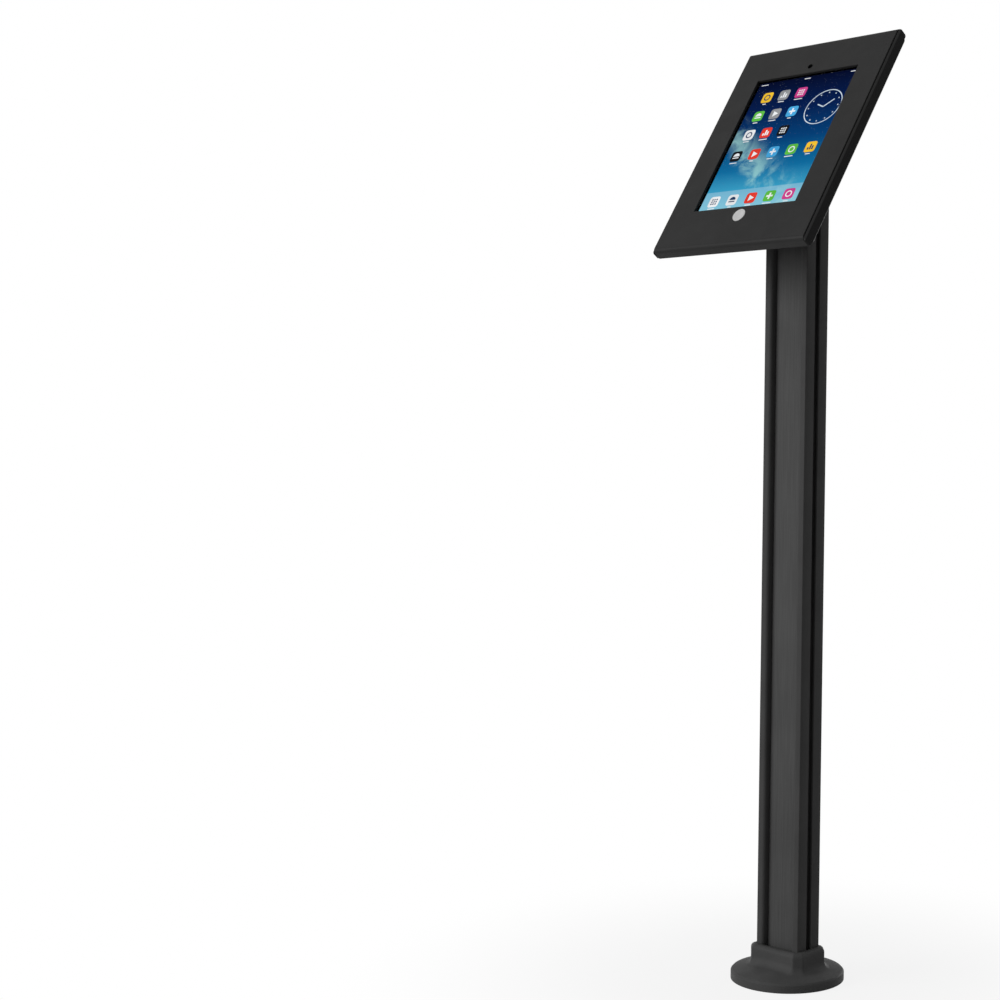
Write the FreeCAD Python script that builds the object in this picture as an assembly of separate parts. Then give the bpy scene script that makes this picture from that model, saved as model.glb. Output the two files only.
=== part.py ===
import FreeCAD, Part
import math
import os

# A tablet mount that stands on the floor. A folded steel enclosure holds a tablet behind a
# window, leans back on top of a slotted post, and opens on two pins at its lower edge. A round
# moulded cover hides the bolt-down foot.
#
# Millimetres. +Z is up, the screen faces -Y, +X is to the viewer's right, and the origin is on
# the floor on the post's axis. The pieces of the head are drawn upright, with x to the right,
# y back from the front face and z up from the middle of the face, and are then leaned back.

# Tablet
tablet_width = 172.0
tablet_height = 244.0
tablet_thickness = 7.5
tablet_corner = 12.0
tablet_edge_round = 2.4
glass_thickness = 1.0
glass_border = 1.0
display_side_border = 12.0
display_end_border = 23.5
display_thickness = 1.2
display_pocket_gap = 0.2
camera_inset = 11.7
camera_lens_radius = 2.2
home_inset = 9.5
home_sensor_radius = 5.5

# Sheet-metal enclosure
sheet = 1.5
side_margin = 25.5
end_margin = 30.5
bend_radius = 5.0
back_bend_radius = 2.5
window_reveal_side = 2.0
window_reveal_end = 1.5
window_corner = 0.8
tablet_rise = 2.7
glass_gap = 2.1
pad_thickness = 4.4
seam = 0.8
bottom_flange_setback = 2.0
top_flange_gap = 0.6
end_notch_length = 5.0
end_notch_depth = 3.0
end_corner_chamfer = 1.6
plate_bottom_over_pin = 6.1
plate_top_inset = 0.5
plate_corner_width = 7.3
camera_hole_radius = 3.5

# Hinge of the front cover
pin_radius = 1.3
pin_running_gap = 0.05
pin_height = 7.0
pin_setback = 3.5
pin_length = 7.0
ear_radius = 3.0
ear_gap = 1.1
ear_reach = 5.5

# Home button and its leaf spring
button_radius = 8.4
button_hole_gap = 0.4
button_proud = 0.4
button_flange_radius = 10.2
button_flange_thickness = 0.6
button_flange_gap = 0.1
button_boss_radius = 4.5
button_boss_height = 0.4
button_dish_radius = 60.0
button_dish_depth = 0.25
spring_thickness = 0.2
spring_length = 31.0
spring_height = 21.0
spring_corner = 7.0
spring_gap = 0.05
retainer_width = 34.0
retainer_drop = 12.5
retainer_window_gap = 0.4
retainer_corner = 4.0
retainer_bore_radius = 10.7

# Window gasket
gasket_width = 5.0
gasket_thickness = 1.8
gasket_window_gap = 0.3
gasket_button_gap = 1.2
gasket_camera_gap = 1.0

# Rubber blocks and foam strips round the tablet
block_gap = 0.3
block_width = 9.0
block_length = 40.0
block_front_inset = 1.4
block_corner = 1.5
side_block_height = 70.0
top_block_spread = 55.0
bottom_block_spread = 50.0
pad_width = 24.0
pad_length = 150.0
pad_spread = 60.0
pad_corner = 2.0

# Cam lock in the back plate and the catch that it hooks
lock_barrel_radius = 6.0
lock_barrel_length = 8.5
lock_bezel_radius = 8.0
lock_bezel_thickness = 1.6
lock_bezel_chamfer = 0.5
lock_plug_radius = 4.2
lock_plug_gap = 0.05
lock_plug_recess = 0.2
lock_tablet_gap = 2.3
lock_nut_radius = 8.5
lock_nut_thickness = 2.4
lock_nut_corner = 0.85
keyway_width = 1.2
keyway_length = 5.4
keyway_depth = 4.0
tongue_thickness = 1.5
tongue_width = 7.0
tongue_reach = 14.0
tongue_gap = 0.3
tongue_end_round = 3.4
tongue_tip_round = 1.0
tongue_screw_radius = 2.6
tongue_screw_head = 1.3
tongue_thread_radius = 1.5
tongue_thread_length = 5.0
screw_slot_width = 0.8
screw_slot_length = 3.6
screw_slot_depth = 0.6
catch_width = 24.0
catch_gap = 0.5
catch_barrel_gap = 1.5

# Cable grommet
grommet_height = 50.0
grommet_hole_radius = 12.0
grommet_bore_radius = 8.0
grommet_lip_radius = 14.5
grommet_lip_thickness = 1.3

# Head bracket
face_tilt = 33.0
face_forward = 42.5
head_lift = 14.4
bracket_base_thickness = 4.0
bracket_sheet = 3.0
bracket_plate_margin = 8.0
bracket_plate_low = 8.0
bracket_plate_high = 92.0
bracket_plate_corner = 6.0
cheek_screw_gap = 0.5
grommet_lip_gap = 1.5
tray_screw_cheek_gap = 2.4
tray_screw_low = 20.0
tray_screw_high = 80.0
tray_screw_radius = 2.5
tray_screw_gap = 0.25
tray_screw_head_radius = 4.6
tray_screw_head_height = 2.8
tray_screw_head_rim = 1.1
tray_screw_crown_radius = 3.0
tray_screw_socket = 3.0
tray_nut_across_flats = 8.0
tray_nut_thickness = 3.6

# Post section
post_width = 63.0
post_depth = 39.0
post_length = 953.0
rail_width = 10.2
web_thickness = 3.0
bead_outer_round = 1.2
bead_inner_round = 4.0
web_fillet = 0.5
slot_width = 8.0
slot_lip = 2.2
slot_lip_round = 0.4
slot_cavity_width = 14.0
slot_floor_wall = 2.5
slot_floor_fillet = 0.8
port_radius = 2.75
port_inset_x = 5.1
port_inset_y = 5.9
snap_groove_depth = 0.8
snap_groove_width = 1.6
snap_groove_setback = 3.2

# Snap-in strips of the front and rear channels
channel_recess = 7.85
strip_thickness = 1.8
strip_round = 1.2
strip_gap = 0.15
strip_leg = 1.9
strip_leg_length = 5.2
strip_nib = 0.6
strip_nib_gap = 0.2
strip_leg_round = 0.3
strip_leg_fillet = 0.5

# Screws in the ends of the post
post_screw_shank_gap = 0.45
post_screw_length = 22.0
post_screw_head_radius = 4.9
post_screw_head_height = 3.4
post_screw_head_chamfer = 0.5
countersink_radius = 5.8
hex_socket_radius = 2.1
hex_socket_depth = 1.6
cable_pass_margin = 1.0
cable_pass_depth = 20.0
cable_pass_corner = 5.0

# Floor flange
flange_radius = 56.0
flange_thickness = 5.0
anchor_circle_radius = 42.0
anchor_hole_radius = 4.5
anchor_count = 4
flange_edge_chamfer = 0.8

# Moulded cover of the foot
cover_radius = 66.5
cover_rim_height = 8.8
cover_step = 1.8
cover_step_height = 1.8
cover_flare_top_radius = 25.0
cover_flare_top_height = 18.5
cover_flare_bulge = 0.8
cover_wall = 2.5
cover_rim_round = 1.0
collar_offset = 8.5
collar_chamfer = 8.5
collar_edge_round = 3.0
collar_height = 38.5
collar_top_round = 5.5
collar_inner_top_round = 3.0
collar_foot_fillet = 9.5
collar_post_gap = 0.4

# How far a cutting shape runs past the faces that it opens, and one solid into the next
overshoot = 1.0
overlap = 0.5

# Sizes that follow from the ones above
face_width = tablet_width + 2 * side_margin
face_height = tablet_height + 2 * end_margin
tray_inner_half = face_width / 2 + seam
tray_outer_half = tray_inner_half + sheet
glass_front = sheet + glass_gap
tablet_back = glass_front + tablet_thickness
plate_front = tablet_back + pad_thickness
plate_back = plate_front + sheet
cover_depth_low = plate_front - bottom_flange_setback
cover_depth_high = plate_front - top_flange_gap
tray_joint = tray_outer_half - back_bend_radius
display_width = tablet_width - 2 * display_side_border
display_height = tablet_height - 2 * display_end_border
window_width = display_width + 2 * window_reveal_side
window_height = display_height + 2 * window_reveal_end
window_bottom = tablet_rise - window_height / 2
button_z = tablet_rise - tablet_height / 2 + home_inset
retainer_top = window_bottom - retainer_window_gap
retainer_bottom = button_z - retainer_drop
camera_z = tablet_rise + tablet_height / 2 - camera_inset
pin_y = plate_back - pin_setback
pin_z = -face_height / 2 + pin_height
lock_z = tablet_rise + tablet_height / 2 + lock_tablet_gap + lock_barrel_radius
post_bottom = flange_thickness
post_top = post_bottom + post_length
face_middle_z = post_top + head_lift
base_top = post_top + bracket_base_thickness
port_x = post_width / 2 - port_inset_x
port_y = post_depth / 2 - port_inset_y
channel_half = post_width / 2 - rail_width
cheek_outer = port_x - post_screw_head_radius - cheek_screw_gap
cheek_inner = cheek_outer - bracket_sheet
cable_pass_width = 2 * (cheek_inner - cable_pass_margin)
bracket_back = plate_back + bracket_sheet
tray_screw_x = cheek_outer + tray_screw_head_radius + tray_screw_cheek_gap
bracket_plate_width = 2 * (tray_screw_x + bracket_plate_margin)

X = FreeCAD.Vector(1, 0, 0)
Y = FreeCAD.Vector(0, 1, 0)
Z = FreeCAD.Vector(0, 0, 1)
ORIGIN = FreeCAD.Vector(0, 0, 0)


def point(x, y, z=0.0):
    return FreeCAD.Vector(x, y, z)


def block(low, high):
    """Box between two opposite corners, each given as (x, y, z)."""
    size = [high[i] - low[i] for i in range(3)]
    return Part.makeBox(size[0], size[1], size[2], point(*low))


def cylinder(radius, start, end):
    """Round bar between two points, each given as (x, y, z)."""
    axis = point(*end) - point(*start)
    return Part.makeCylinder(radius, axis.Length, point(*start), axis)


def bore_y(radius, x, z, front, back):
    """Cutter for a round hole along y through whatever lies between two depths."""
    return cylinder(radius, (x, front - overshoot, z), (x, back + overshoot, z))


def bore_z(radius, x, y, low, high):
    """Cutter for a round hole along z through whatever lies between two heights."""
    return cylinder(radius, (x, y, low - overshoot), (x, y, high + overshoot))


def outline(corners):
    """Closed wire on the XY plane through (x, y) or (x, y, radius) corners."""
    edges = []
    starts = []
    ends = []
    arcs = []
    count = len(corners)
    for i in range(count):
        here = point(*corners[i][:2])
        before = point(*corners[i - 1][:2]) - here
        after = point(*corners[(i + 1) % count][:2]) - here
        radius = corners[i][2] if len(corners[i]) > 2 else 0.0
        before.normalize()
        after.normalize()
        if radius <= 0:
            starts.append(here)
            ends.append(here)
            arcs.append(None)
            continue
        half_angle = before.getAngle(after) / 2
        reach = radius / math.tan(half_angle)
        bisector = before + after
        bisector.normalize()
        centre = here + bisector * (radius / math.sin(half_angle))
        starts.append(here + before * reach)
        ends.append(here + after * reach)
        arcs.append(centre - bisector * radius)
    for i in range(count):
        if arcs[i] is not None:
            edges.append(Part.Arc(starts[i], arcs[i], ends[i]).toShape())
        following = starts[(i + 1) % count]
        if (following - ends[i]).Length > 1e-6:
            edges.append(Part.LineSegment(ends[i], following).toShape())
    return Part.Wire(edges)


def rectangle(width, height, radius=0.0, x=0.0, y=0.0):
    """Corners of a rectangle round (x, y), for outline()."""
    left, right = x - width / 2, x + width / 2
    low, high = y - height / 2, y + height / 2
    return [(left, low, radius), (right, low, radius), (right, high, radius), (left, high, radius)]


def prism(corners, bottom, top):
    """Upright prism of an XY outline, from one height to another."""
    solid = Part.Face(outline(corners)).extrude(point(0, 0, top - bottom))
    solid.translate(point(0, 0, bottom))
    return solid


def upright(corners, front, back):
    """Prism of an (x, z) outline, from the front depth to the back depth along y."""
    solid = prism(corners, 0, back - front)
    solid.rotate(ORIGIN, X, 90)
    solid.translate(point(0, back, 0))
    return solid


def opening_y(corners, front, back):
    """Cutter for an (x, z) outline through whatever lies between two depths."""
    return upright(corners, front - overshoot, back + overshoot)


def opening_z(corners, low, high):
    """Cutter for an (x, y) outline through whatever lies between two heights."""
    return prism(corners, low - overshoot, high + overshoot)


def sideways(corners, left, right):
    """Prism of a (y, z) outline, from one x to another."""
    solid = prism(corners, 0, right - left)
    solid.rotate(ORIGIN, X, 90)
    solid.rotate(ORIGIN, Z, 90)
    solid.translate(point(left, 0, 0))
    return solid


def turned(profile, start, axis):
    """Solid of revolution of (radius, length) points, its length running from start along axis."""
    points = [point(radius, 0, length) for radius, length in profile]
    face = Part.Face(Part.makePolygon(points + points[:1]))
    solid = face.revolve(ORIGIN, Z, 360)
    solid.Placement = FreeCAD.Placement(point(*start), FreeCAD.Rotation(Z, axis))
    return solid


def hexagon_prism(across_flats, start, end):
    """Hexagonal bar between two points, each given as (x, y, z)."""
    axis = point(*end) - point(*start)
    radius = across_flats / math.sqrt(3)
    turns = [math.radians(60 * i) for i in range(7)]
    ring = [point(radius * math.cos(turn), radius * math.sin(turn)) for turn in turns]
    solid = Part.Face(Part.makePolygon(ring)).extrude(point(0, 0, axis.Length))
    solid.Placement = FreeCAD.Placement(point(*start), FreeCAD.Rotation(Z, axis))
    return solid


def four_fold(quarter):
    """Whole outline from its corners in the x > 0, y < 0 quarter, listed from axis to axis."""
    mirrored_y = [(x, -y, radius) for x, y, radius in reversed(quarter)]
    right = quarter + mirrored_y
    left = [(-x, y, radius) for x, y, radius in reversed(right)]
    return right + left


def head_place(y, z):
    """World (y, z) of a place on the head, given by its depth and its height on the face."""
    tilt = math.radians(face_tilt)
    return (-face_forward + y * math.cos(tilt) + z * math.sin(tilt),
            face_middle_z - y * math.sin(tilt) + z * math.cos(tilt))


def lean(solid):
    """Lean a piece of the head back and lift it to its place over the post."""
    solid.rotate(ORIGIN, X, -face_tilt)
    solid.translate(point(0, -face_forward, face_middle_z))
    return solid


# Tablet

def tablet_housing():
    body = upright(rectangle(tablet_width, tablet_height, tablet_corner, 0, tablet_rise),
                   glass_front, tablet_back)
    rear_edges = [edge for edge in body.Edges if edge.BoundBox.YMin > tablet_back - 0.01]
    body = body.makeFillet(tablet_edge_round, rear_edges)
    glass_bed = upright(rectangle(tablet_width - 2 * glass_border, tablet_height - 2 * glass_border,
                                  tablet_corner - glass_border, 0, tablet_rise),
                        glass_front - overshoot, glass_front + glass_thickness)
    display_bed = upright(rectangle(display_width + 2 * display_pocket_gap,
                                    display_height + 2 * display_pocket_gap, 0, 0, tablet_rise),
                          glass_front, glass_front + glass_thickness + display_thickness)
    return body.cut(glass_bed).cut(display_bed)


def tablet_glass():
    plate = upright(rectangle(tablet_width - 2 * glass_border, tablet_height - 2 * glass_border,
                              tablet_corner - glass_border, 0, tablet_rise),
                    glass_front, glass_front + glass_thickness)
    glass_back = glass_front + glass_thickness
    lens_hole = bore_y(camera_lens_radius, 0, camera_z, glass_front, glass_back)
    sensor_hole = bore_y(home_sensor_radius, 0, button_z, glass_front, glass_back)
    return plate.cut(lens_hole).cut(sensor_hole)


def tablet_display():
    front = glass_front + glass_thickness
    return upright(rectangle(display_width, display_height, 0, 0, tablet_rise),
                   front, front + display_thickness)


def tablet_camera():
    return cylinder(camera_lens_radius, (0, glass_front, camera_z),
                    (0, glass_front + glass_thickness, camera_z))


def tablet_home_sensor():
    return cylinder(home_sensor_radius, (0, glass_front, button_z),
                    (0, glass_front + glass_thickness, button_z))


# Enclosure

def tray_channel():
    """U-shaped channel of the tray along z: rolled front edges, side walls and back plate."""
    half = face_height / 2
    inner_bend = back_bend_radius - sheet
    outer = [(-tray_outer_half, 0, bend_radius), (tray_outer_half, 0, bend_radius),
             (tray_outer_half, plate_back, back_bend_radius),
             (-tray_outer_half, plate_back, back_bend_radius)]
    inner = [(-tray_inner_half, -overshoot), (tray_inner_half, -overshoot),
             (tray_inner_half, plate_front, inner_bend),
             (-tray_inner_half, plate_front, inner_bend)]
    return prism(outer, -half, half).cut(opening_z(inner, -half, half))


def rear_tray():
    """Flat back plate of the tray, with a step at each upper corner and the lock and cable holes."""
    bottom = pin_z + plate_bottom_over_pin
    top = face_height / 2 - plate_top_inset
    step_z = face_height / 2 - end_notch_length - end_notch_depth
    step_x = tray_joint - plate_corner_width
    right = [(tray_joint, bottom), (tray_joint, step_z), (step_x, step_z), (step_x, top)]
    corners = right + [(-x, z) for x, z in reversed(right)]
    plate = upright(corners, plate_front, plate_back)
    plate = plate.cut(bore_y(grommet_hole_radius, 0, grommet_height, plate_front, plate_back))
    plate = plate.cut(bore_y(lock_barrel_radius, 0, lock_z, plate_front, plate_back))
    for x, z in tray_screw_places():
        plate = plate.cut(bore_y(tray_screw_radius, x, z, plate_front, plate_back))
    return plate


def tray_sides():
    """Side walls of the tray with their rear bends, welded along the back plate."""
    half = face_height / 2
    shallow = plate_back - end_notch_depth
    full = half - end_notch_length - end_notch_depth
    side = [(0, -half, bend_radius), (0, half, bend_radius),
            (shallow - end_corner_chamfer, half), (shallow, half - end_corner_chamfer),
            (shallow, half - end_notch_length), (plate_back, full),
            (plate_back, -full), (shallow, -half + end_notch_length),
            (shallow, -half + end_corner_chamfer), (shallow - end_corner_chamfer, -half)]
    walls = tray_channel().common(sideways(side, -tray_outer_half, tray_outer_half))
    walls = walls.cut(block((-tray_joint, 0, -half), (tray_joint, plate_back, half)))
    walls = walls.cut(block((-tray_inner_half, 0, -half - overshoot),
                            (tray_inner_half, plate_back + overshoot, pin_z + plate_bottom_over_pin)))
    return walls.cut(cylinder(pin_radius, (-tray_outer_half - overshoot, pin_y, pin_z),
                              (tray_outer_half + overshoot, pin_y, pin_z))).Solids


def front_cover():
    half = face_height / 2
    inner_radius = bend_radius - sheet
    section = [(cover_depth_low, -half), (0, -half, bend_radius), (0, half, bend_radius),
               (cover_depth_high, half), (cover_depth_high, half - sheet),
               (sheet, half - sheet, inner_radius), (sheet, -half + sheet, inner_radius),
               (cover_depth_low, -half + sheet)]
    cover = sideways(section, -face_width / 2, face_width / 2)
    window = rectangle(window_width, window_height, window_corner, 0, tablet_rise)
    cover = cover.cut(opening_y(window, 0, sheet))
    cover = cover.cut(bore_y(camera_hole_radius, 0, camera_z, 0, sheet))
    cover = cover.cut(bore_y(button_radius + button_hole_gap, 0, button_z, 0, sheet))
    floor_z = -half + sheet
    for sign in (-1, 1):
        outer = tray_inner_half - ear_gap
        left, right = sorted((sign * outer, sign * (outer - sheet)))
        ear = block((left, pin_y - ear_reach, floor_z - overlap), (right, cover_depth_low, pin_z))
        ear = ear.fuse(cylinder(ear_radius, (left, pin_y, pin_z), (right, pin_y, pin_z)))
        ear = ear.fuse(block((left, pin_y - ear_reach, floor_z - overlap),
                             (right, pin_y, pin_z + ear_radius)))
        ear = ear.cut(cylinder(pin_radius + pin_running_gap, (left - overshoot, pin_y, pin_z),
                               (right + overshoot, pin_y, pin_z)))
        cover = cover.fuse(ear)
    return cover.removeSplitter()


def hinge_pins():
    return [cylinder(pin_radius, (sign * tray_outer_half, pin_y, pin_z),
                     (sign * (tray_outer_half - pin_length), pin_y, pin_z)) for sign in (-1, 1)]


def window_gasket():
    opening_width = window_width + 2 * gasket_window_gap
    opening_height = window_height + 2 * gasket_window_gap
    back = sheet + gasket_thickness
    ring = upright(rectangle(opening_width + 2 * gasket_width, opening_height + 2 * gasket_width,
                             window_corner + gasket_width, 0, tablet_rise), sheet, back)
    opening = rectangle(opening_width, opening_height, window_corner, 0, tablet_rise)
    ring = ring.cut(opening_y(opening, sheet, back))
    ring = ring.cut(opening_y(retainer_outline(gasket_button_gap), sheet, back))
    around_camera = camera_hole_radius + gasket_camera_gap
    return ring.cut(bore_y(around_camera, 0, camera_z, sheet, back))


def home_button():
    flange_front = sheet + button_flange_gap
    flange_back = flange_front + button_flange_thickness
    boss_back = flange_back + button_boss_height
    profile = [(0, -button_proud), (button_radius, -button_proud), (button_radius, flange_front),
               (button_flange_radius, flange_front), (button_flange_radius, flange_back),
               (button_boss_radius, flange_back), (button_boss_radius, boss_back), (0, boss_back)]
    button = turned(profile, (0, 0, button_z), Y)
    dish = Part.makeSphere(button_dish_radius,
                           point(0, -button_proud + button_dish_depth - button_dish_radius, button_z))
    return button.cut(dish)


def retainer_outline(grow):
    """(x, z) corners of the button's carrier plate, grown by a gap on every side."""
    height = retainer_top - retainer_bottom + 2 * grow
    middle = (retainer_top + retainer_bottom) / 2
    return rectangle(retainer_width + 2 * grow, height, retainer_corner + grow, 0, middle)


def button_retainer():
    """Carrier plate behind the cover that guides the button and holds its spring."""
    back = sheet + button_flange_gap + button_flange_thickness + spring_gap
    plate = upright(retainer_outline(0), sheet, back)
    return plate.cut(bore_y(retainer_bore_radius, 0, button_z, sheet, back))


def button_spring():
    front = sheet + button_flange_gap + button_flange_thickness + spring_gap
    back = front + spring_thickness
    leaf = upright(rectangle(spring_length, spring_height, spring_corner, 0, button_z), front, back)
    return leaf.cut(bore_y(button_boss_radius + spring_gap, 0, button_z, front, back))


def cover_catch():
    """Angle on the cover's top flange whose leg hangs behind the lock's tongue."""
    top = face_height / 2 - sheet
    leg_front = tongue_front() + tongue_thickness + catch_gap
    leg_bottom = lock_z + lock_barrel_radius + catch_barrel_gap
    corners = [(leg_front, leg_bottom), (leg_front + sheet, leg_bottom),
               (leg_front + sheet, top - sheet), (cover_depth_high, top - sheet),
               (cover_depth_high, top), (leg_front, top)]
    return sideways(corners, -catch_width / 2, catch_width / 2)


def tongue_front():
    return plate_back - lock_barrel_length - tongue_gap - tongue_thickness


def lock_housing():
    front = plate_back - lock_barrel_length
    bezel_back = plate_back + lock_bezel_thickness
    bore = lock_plug_radius + lock_plug_gap
    profile = [(bore, front), (lock_barrel_radius, front), (lock_barrel_radius, plate_back),
               (lock_bezel_radius, plate_back),
               (lock_bezel_radius, bezel_back - lock_bezel_chamfer),
               (lock_bezel_radius - lock_bezel_chamfer, bezel_back), (bore, bezel_back)]
    return turned(profile, (0, 0, lock_z), Y)


def lock_nut():
    front = plate_front - lock_nut_thickness
    nut = hexagon_prism(2 * lock_nut_radius, (0, front, lock_z), (0, plate_front, lock_z))
    rounding = cylinder(lock_nut_radius + lock_nut_corner, (0, front, lock_z),
                        (0, plate_front, lock_z))
    nut = nut.common(rounding)
    return nut.cut(bore_y(lock_barrel_radius, 0, lock_z, front, plate_front))


def lock_plug():
    front = tongue_front() + tongue_thickness
    back = plate_back + lock_bezel_thickness - lock_plug_recess
    plug = cylinder(lock_plug_radius, (0, front, lock_z), (0, back, lock_z))
    keyway = block((-keyway_width / 2, back - keyway_depth, lock_z - keyway_length / 2),
                   (keyway_width / 2, back + overshoot, lock_z + keyway_length / 2))
    thread = cylinder(tongue_thread_radius, (0, front - overshoot, lock_z),
                      (0, front + tongue_thread_length, lock_z))
    return plug.cut(keyway).cut(thread)


def lock_tongue():
    front = tongue_front()
    half = tongue_width / 2
    corners = [(-half, lock_z - half, tongue_end_round),
               (tongue_reach, lock_z - half, tongue_tip_round),
               (tongue_reach, lock_z + half, tongue_tip_round),
               (-half, lock_z + half, tongue_end_round)]
    tongue = upright(corners, front, front + tongue_thickness)
    return tongue.cut(bore_y(tongue_thread_radius, 0, lock_z, front, front + tongue_thickness))


def tongue_screw():
    front = tongue_front()
    head = cylinder(tongue_screw_radius, (0, front - tongue_screw_head, lock_z), (0, front, lock_z))
    shank = cylinder(tongue_thread_radius, (0, front, lock_z),
                     (0, front + tongue_thickness + tongue_thread_length, lock_z))
    head_front = front - tongue_screw_head
    recess = block((-screw_slot_width / 2, head_front - overshoot, lock_z - screw_slot_length / 2),
                   (screw_slot_width / 2, head_front + screw_slot_depth,
                    lock_z + screw_slot_length / 2))
    return head.fuse(shank).removeSplitter().cut(recess)


def edge_blocks(places, along_x):
    """Rubber blocks on the back plate, at (x, z) places beside the tablet's edges."""
    front = glass_front + block_front_inset
    size = (block_length, block_width) if along_x else (block_width, block_length)
    return [upright(rectangle(size[0], size[1], block_corner, x, z), front, plate_front)
            for x, z in places]


def edge_blocks_side():
    x = tablet_width / 2 + block_gap + block_width / 2
    return edge_blocks([(sign * x, tablet_rise + height) for sign in (-1, 1)
                        for height in (-side_block_height, side_block_height)], False)


def edge_blocks_top():
    z = tablet_rise + tablet_height / 2 + block_gap + block_width / 2
    return edge_blocks([(sign * top_block_spread, z) for sign in (-1, 1)], True)


def edge_blocks_bottom():
    z = tablet_rise - tablet_height / 2 - block_width / 2
    return edge_blocks([(sign * bottom_block_spread, z) for sign in (-1, 1)], True)


def rear_pads():
    return [upright(rectangle(pad_width, pad_length, pad_corner, sign * pad_spread, tablet_rise),
                    tablet_back, plate_front) for sign in (-1, 1)]


def cable_grommet():
    """Rubber ring with a groove round its waist, which holds the back plate."""
    front = plate_front - grommet_lip_thickness
    back = plate_back + grommet_lip_thickness
    profile = [(grommet_bore_radius, front), (grommet_lip_radius, front),
               (grommet_lip_radius, plate_front), (grommet_hole_radius, plate_front),
               (grommet_hole_radius, plate_back), (grommet_lip_radius, plate_back),
               (grommet_lip_radius, back), (grommet_bore_radius, back)]
    return turned(profile, (0, 0, grommet_height), Y)


def tray_screw_places():
    """(x, z) of the four screws that hold the tray on the bracket."""
    return [(sign * tray_screw_x, z) for sign in (-1, 1) for z in (tray_screw_low, tray_screw_high)]


def tray_nuts():
    front = plate_front - tray_nut_thickness
    nuts = []
    for x, z in tray_screw_places():
        nut = hexagon_prism(tray_nut_across_flats, (x, front, z), (x, plate_front, z))
        nuts.append(nut.cut(bore_y(tray_screw_radius, x, z, front, plate_front)))
    return nuts


def bracket_screws():
    """Button-head screws through the bracket plate and the tray into the weld nuts."""
    tip = plate_front - tray_nut_thickness
    head_back = bracket_back + tray_screw_head_height
    screws = []
    for x, z in tray_screw_places():
        profile = [(0, tip), (tray_screw_radius, tip), (tray_screw_radius, bracket_back),
                   (tray_screw_head_radius, bracket_back),
                   (tray_screw_head_radius, bracket_back + tray_screw_head_rim),
                   (tray_screw_crown_radius, head_back), (0, head_back)]
        screw = turned(profile, (x, 0, z), Y)
        socket = hexagon_prism(tray_screw_socket, (x, head_back - hex_socket_depth, z),
                               (x, head_back + overshoot, z))
        screws.append(screw.cut(socket))
    return screws


# Post, bracket and foot

def cable_pass():
    return rectangle(cable_pass_width, cable_pass_depth, cable_pass_corner)


def post_corners():
    """(x, y) of the four screw ports in the post."""
    return [(x, y) for x in (-port_x, port_x) for y in (-port_y, port_y)]


def bracket_base():
    """Foot plate of the bracket, on top of the post."""
    base = prism(rectangle(post_width, post_depth, bead_outer_round), post_top, base_top)
    base = base.cut(opening_z(cable_pass(), post_top, base_top))
    for x, y in post_corners():
        base = base.cut(bore_z(port_radius + post_screw_shank_gap, x, y, post_top, base_top))
    return base


def bracket_plate():
    """Leaning plate of the bracket, which carries the tray."""
    middle = (bracket_plate_low + bracket_plate_high) / 2
    height = bracket_plate_high - bracket_plate_low
    corners = rectangle(bracket_plate_width, height, bracket_plate_corner, 0, middle)
    plate = upright(corners, plate_back, bracket_back)
    plate = plate.cut(bore_y(grommet_lip_radius + grommet_lip_gap, 0, grommet_height,
                             plate_back, bracket_back))
    for x, z in tray_screw_places():
        plate = plate.cut(bore_y(tray_screw_radius + tray_screw_gap, x, z, plate_back, bracket_back))
    return plate


def bracket_cheeks():
    """Two wedges welded between the bracket's foot plate and its leaning plate."""
    back_y = post_depth / 2
    low_y, low_z = head_place(bracket_back, bracket_plate_low)
    foot_y, foot_z = head_place(bracket_back, 0)
    high_z = foot_z + (back_y - foot_y) / math.tan(math.radians(face_tilt))
    corners = [(-post_depth / 2, base_top), (low_y, low_z), (back_y, high_z), (back_y, base_top)]
    return [sideways(corners, left, left + bracket_sheet) for left in (-cheek_outer, cheek_inner)]


def post_section():
    half_web = web_thickness / 2
    groove_front = -post_depth / 2 + channel_recess + snap_groove_setback
    groove_back = groove_front + snap_groove_width
    groove_x = channel_half + snap_groove_depth
    lip_x = post_width / 2 - slot_lip
    floor_x = channel_half + slot_floor_wall
    half_slot = slot_width / 2
    half_cavity = slot_cavity_width / 2
    quarter = [
        (channel_half, -half_web, web_fillet),
        (channel_half, groove_back, 0), (groove_x, groove_back, 0),
        (groove_x, groove_front, 0), (channel_half, groove_front, 0),
        (channel_half, -post_depth / 2, bead_inner_round),
        (post_width / 2, -post_depth / 2, bead_outer_round),
        (post_width / 2, -half_slot, slot_lip_round),
        (lip_x, -half_slot, 0), (lip_x, -half_cavity, 0),
        (floor_x, -half_cavity, slot_floor_fillet),
    ]
    return four_fold(quarter)


def post_extrusion():
    post = prism(post_section(), post_bottom, post_top)
    for x, y in post_corners():
        post = post.cut(bore_z(port_radius, x, y, post_bottom, post_top))
    return post


def channel_strip(facing):
    """Snap-in strip of the front (facing -1) or rear (facing 1) channel."""
    face_y = -post_depth / 2 + channel_recess
    half = channel_half - strip_gap
    under = face_y + strip_thickness
    leg_end = under + strip_leg_length
    nib_front = face_y + snap_groove_setback + strip_nib_gap
    nib_back = face_y + snap_groove_setback + snap_groove_width - strip_nib_gap
    nib_x = half + strip_nib
    inner = half - strip_leg
    right = [(half, face_y, strip_round), (half, nib_front, 0), (nib_x, nib_front, 0),
             (nib_x, nib_back - strip_nib / 2, 0), (half, nib_back, 0),
             (half, leg_end, strip_leg_round), (inner, leg_end, strip_leg_round),
             (inner, under, strip_leg_fillet)]
    left = [(-x, y, radius) for x, y, radius in reversed(right)]
    strip = prism(right + left, post_bottom, post_top)
    if facing > 0:
        strip.rotate(ORIGIN, Z, 180)
    return strip


def front_panel():
    return channel_strip(-1)


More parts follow.
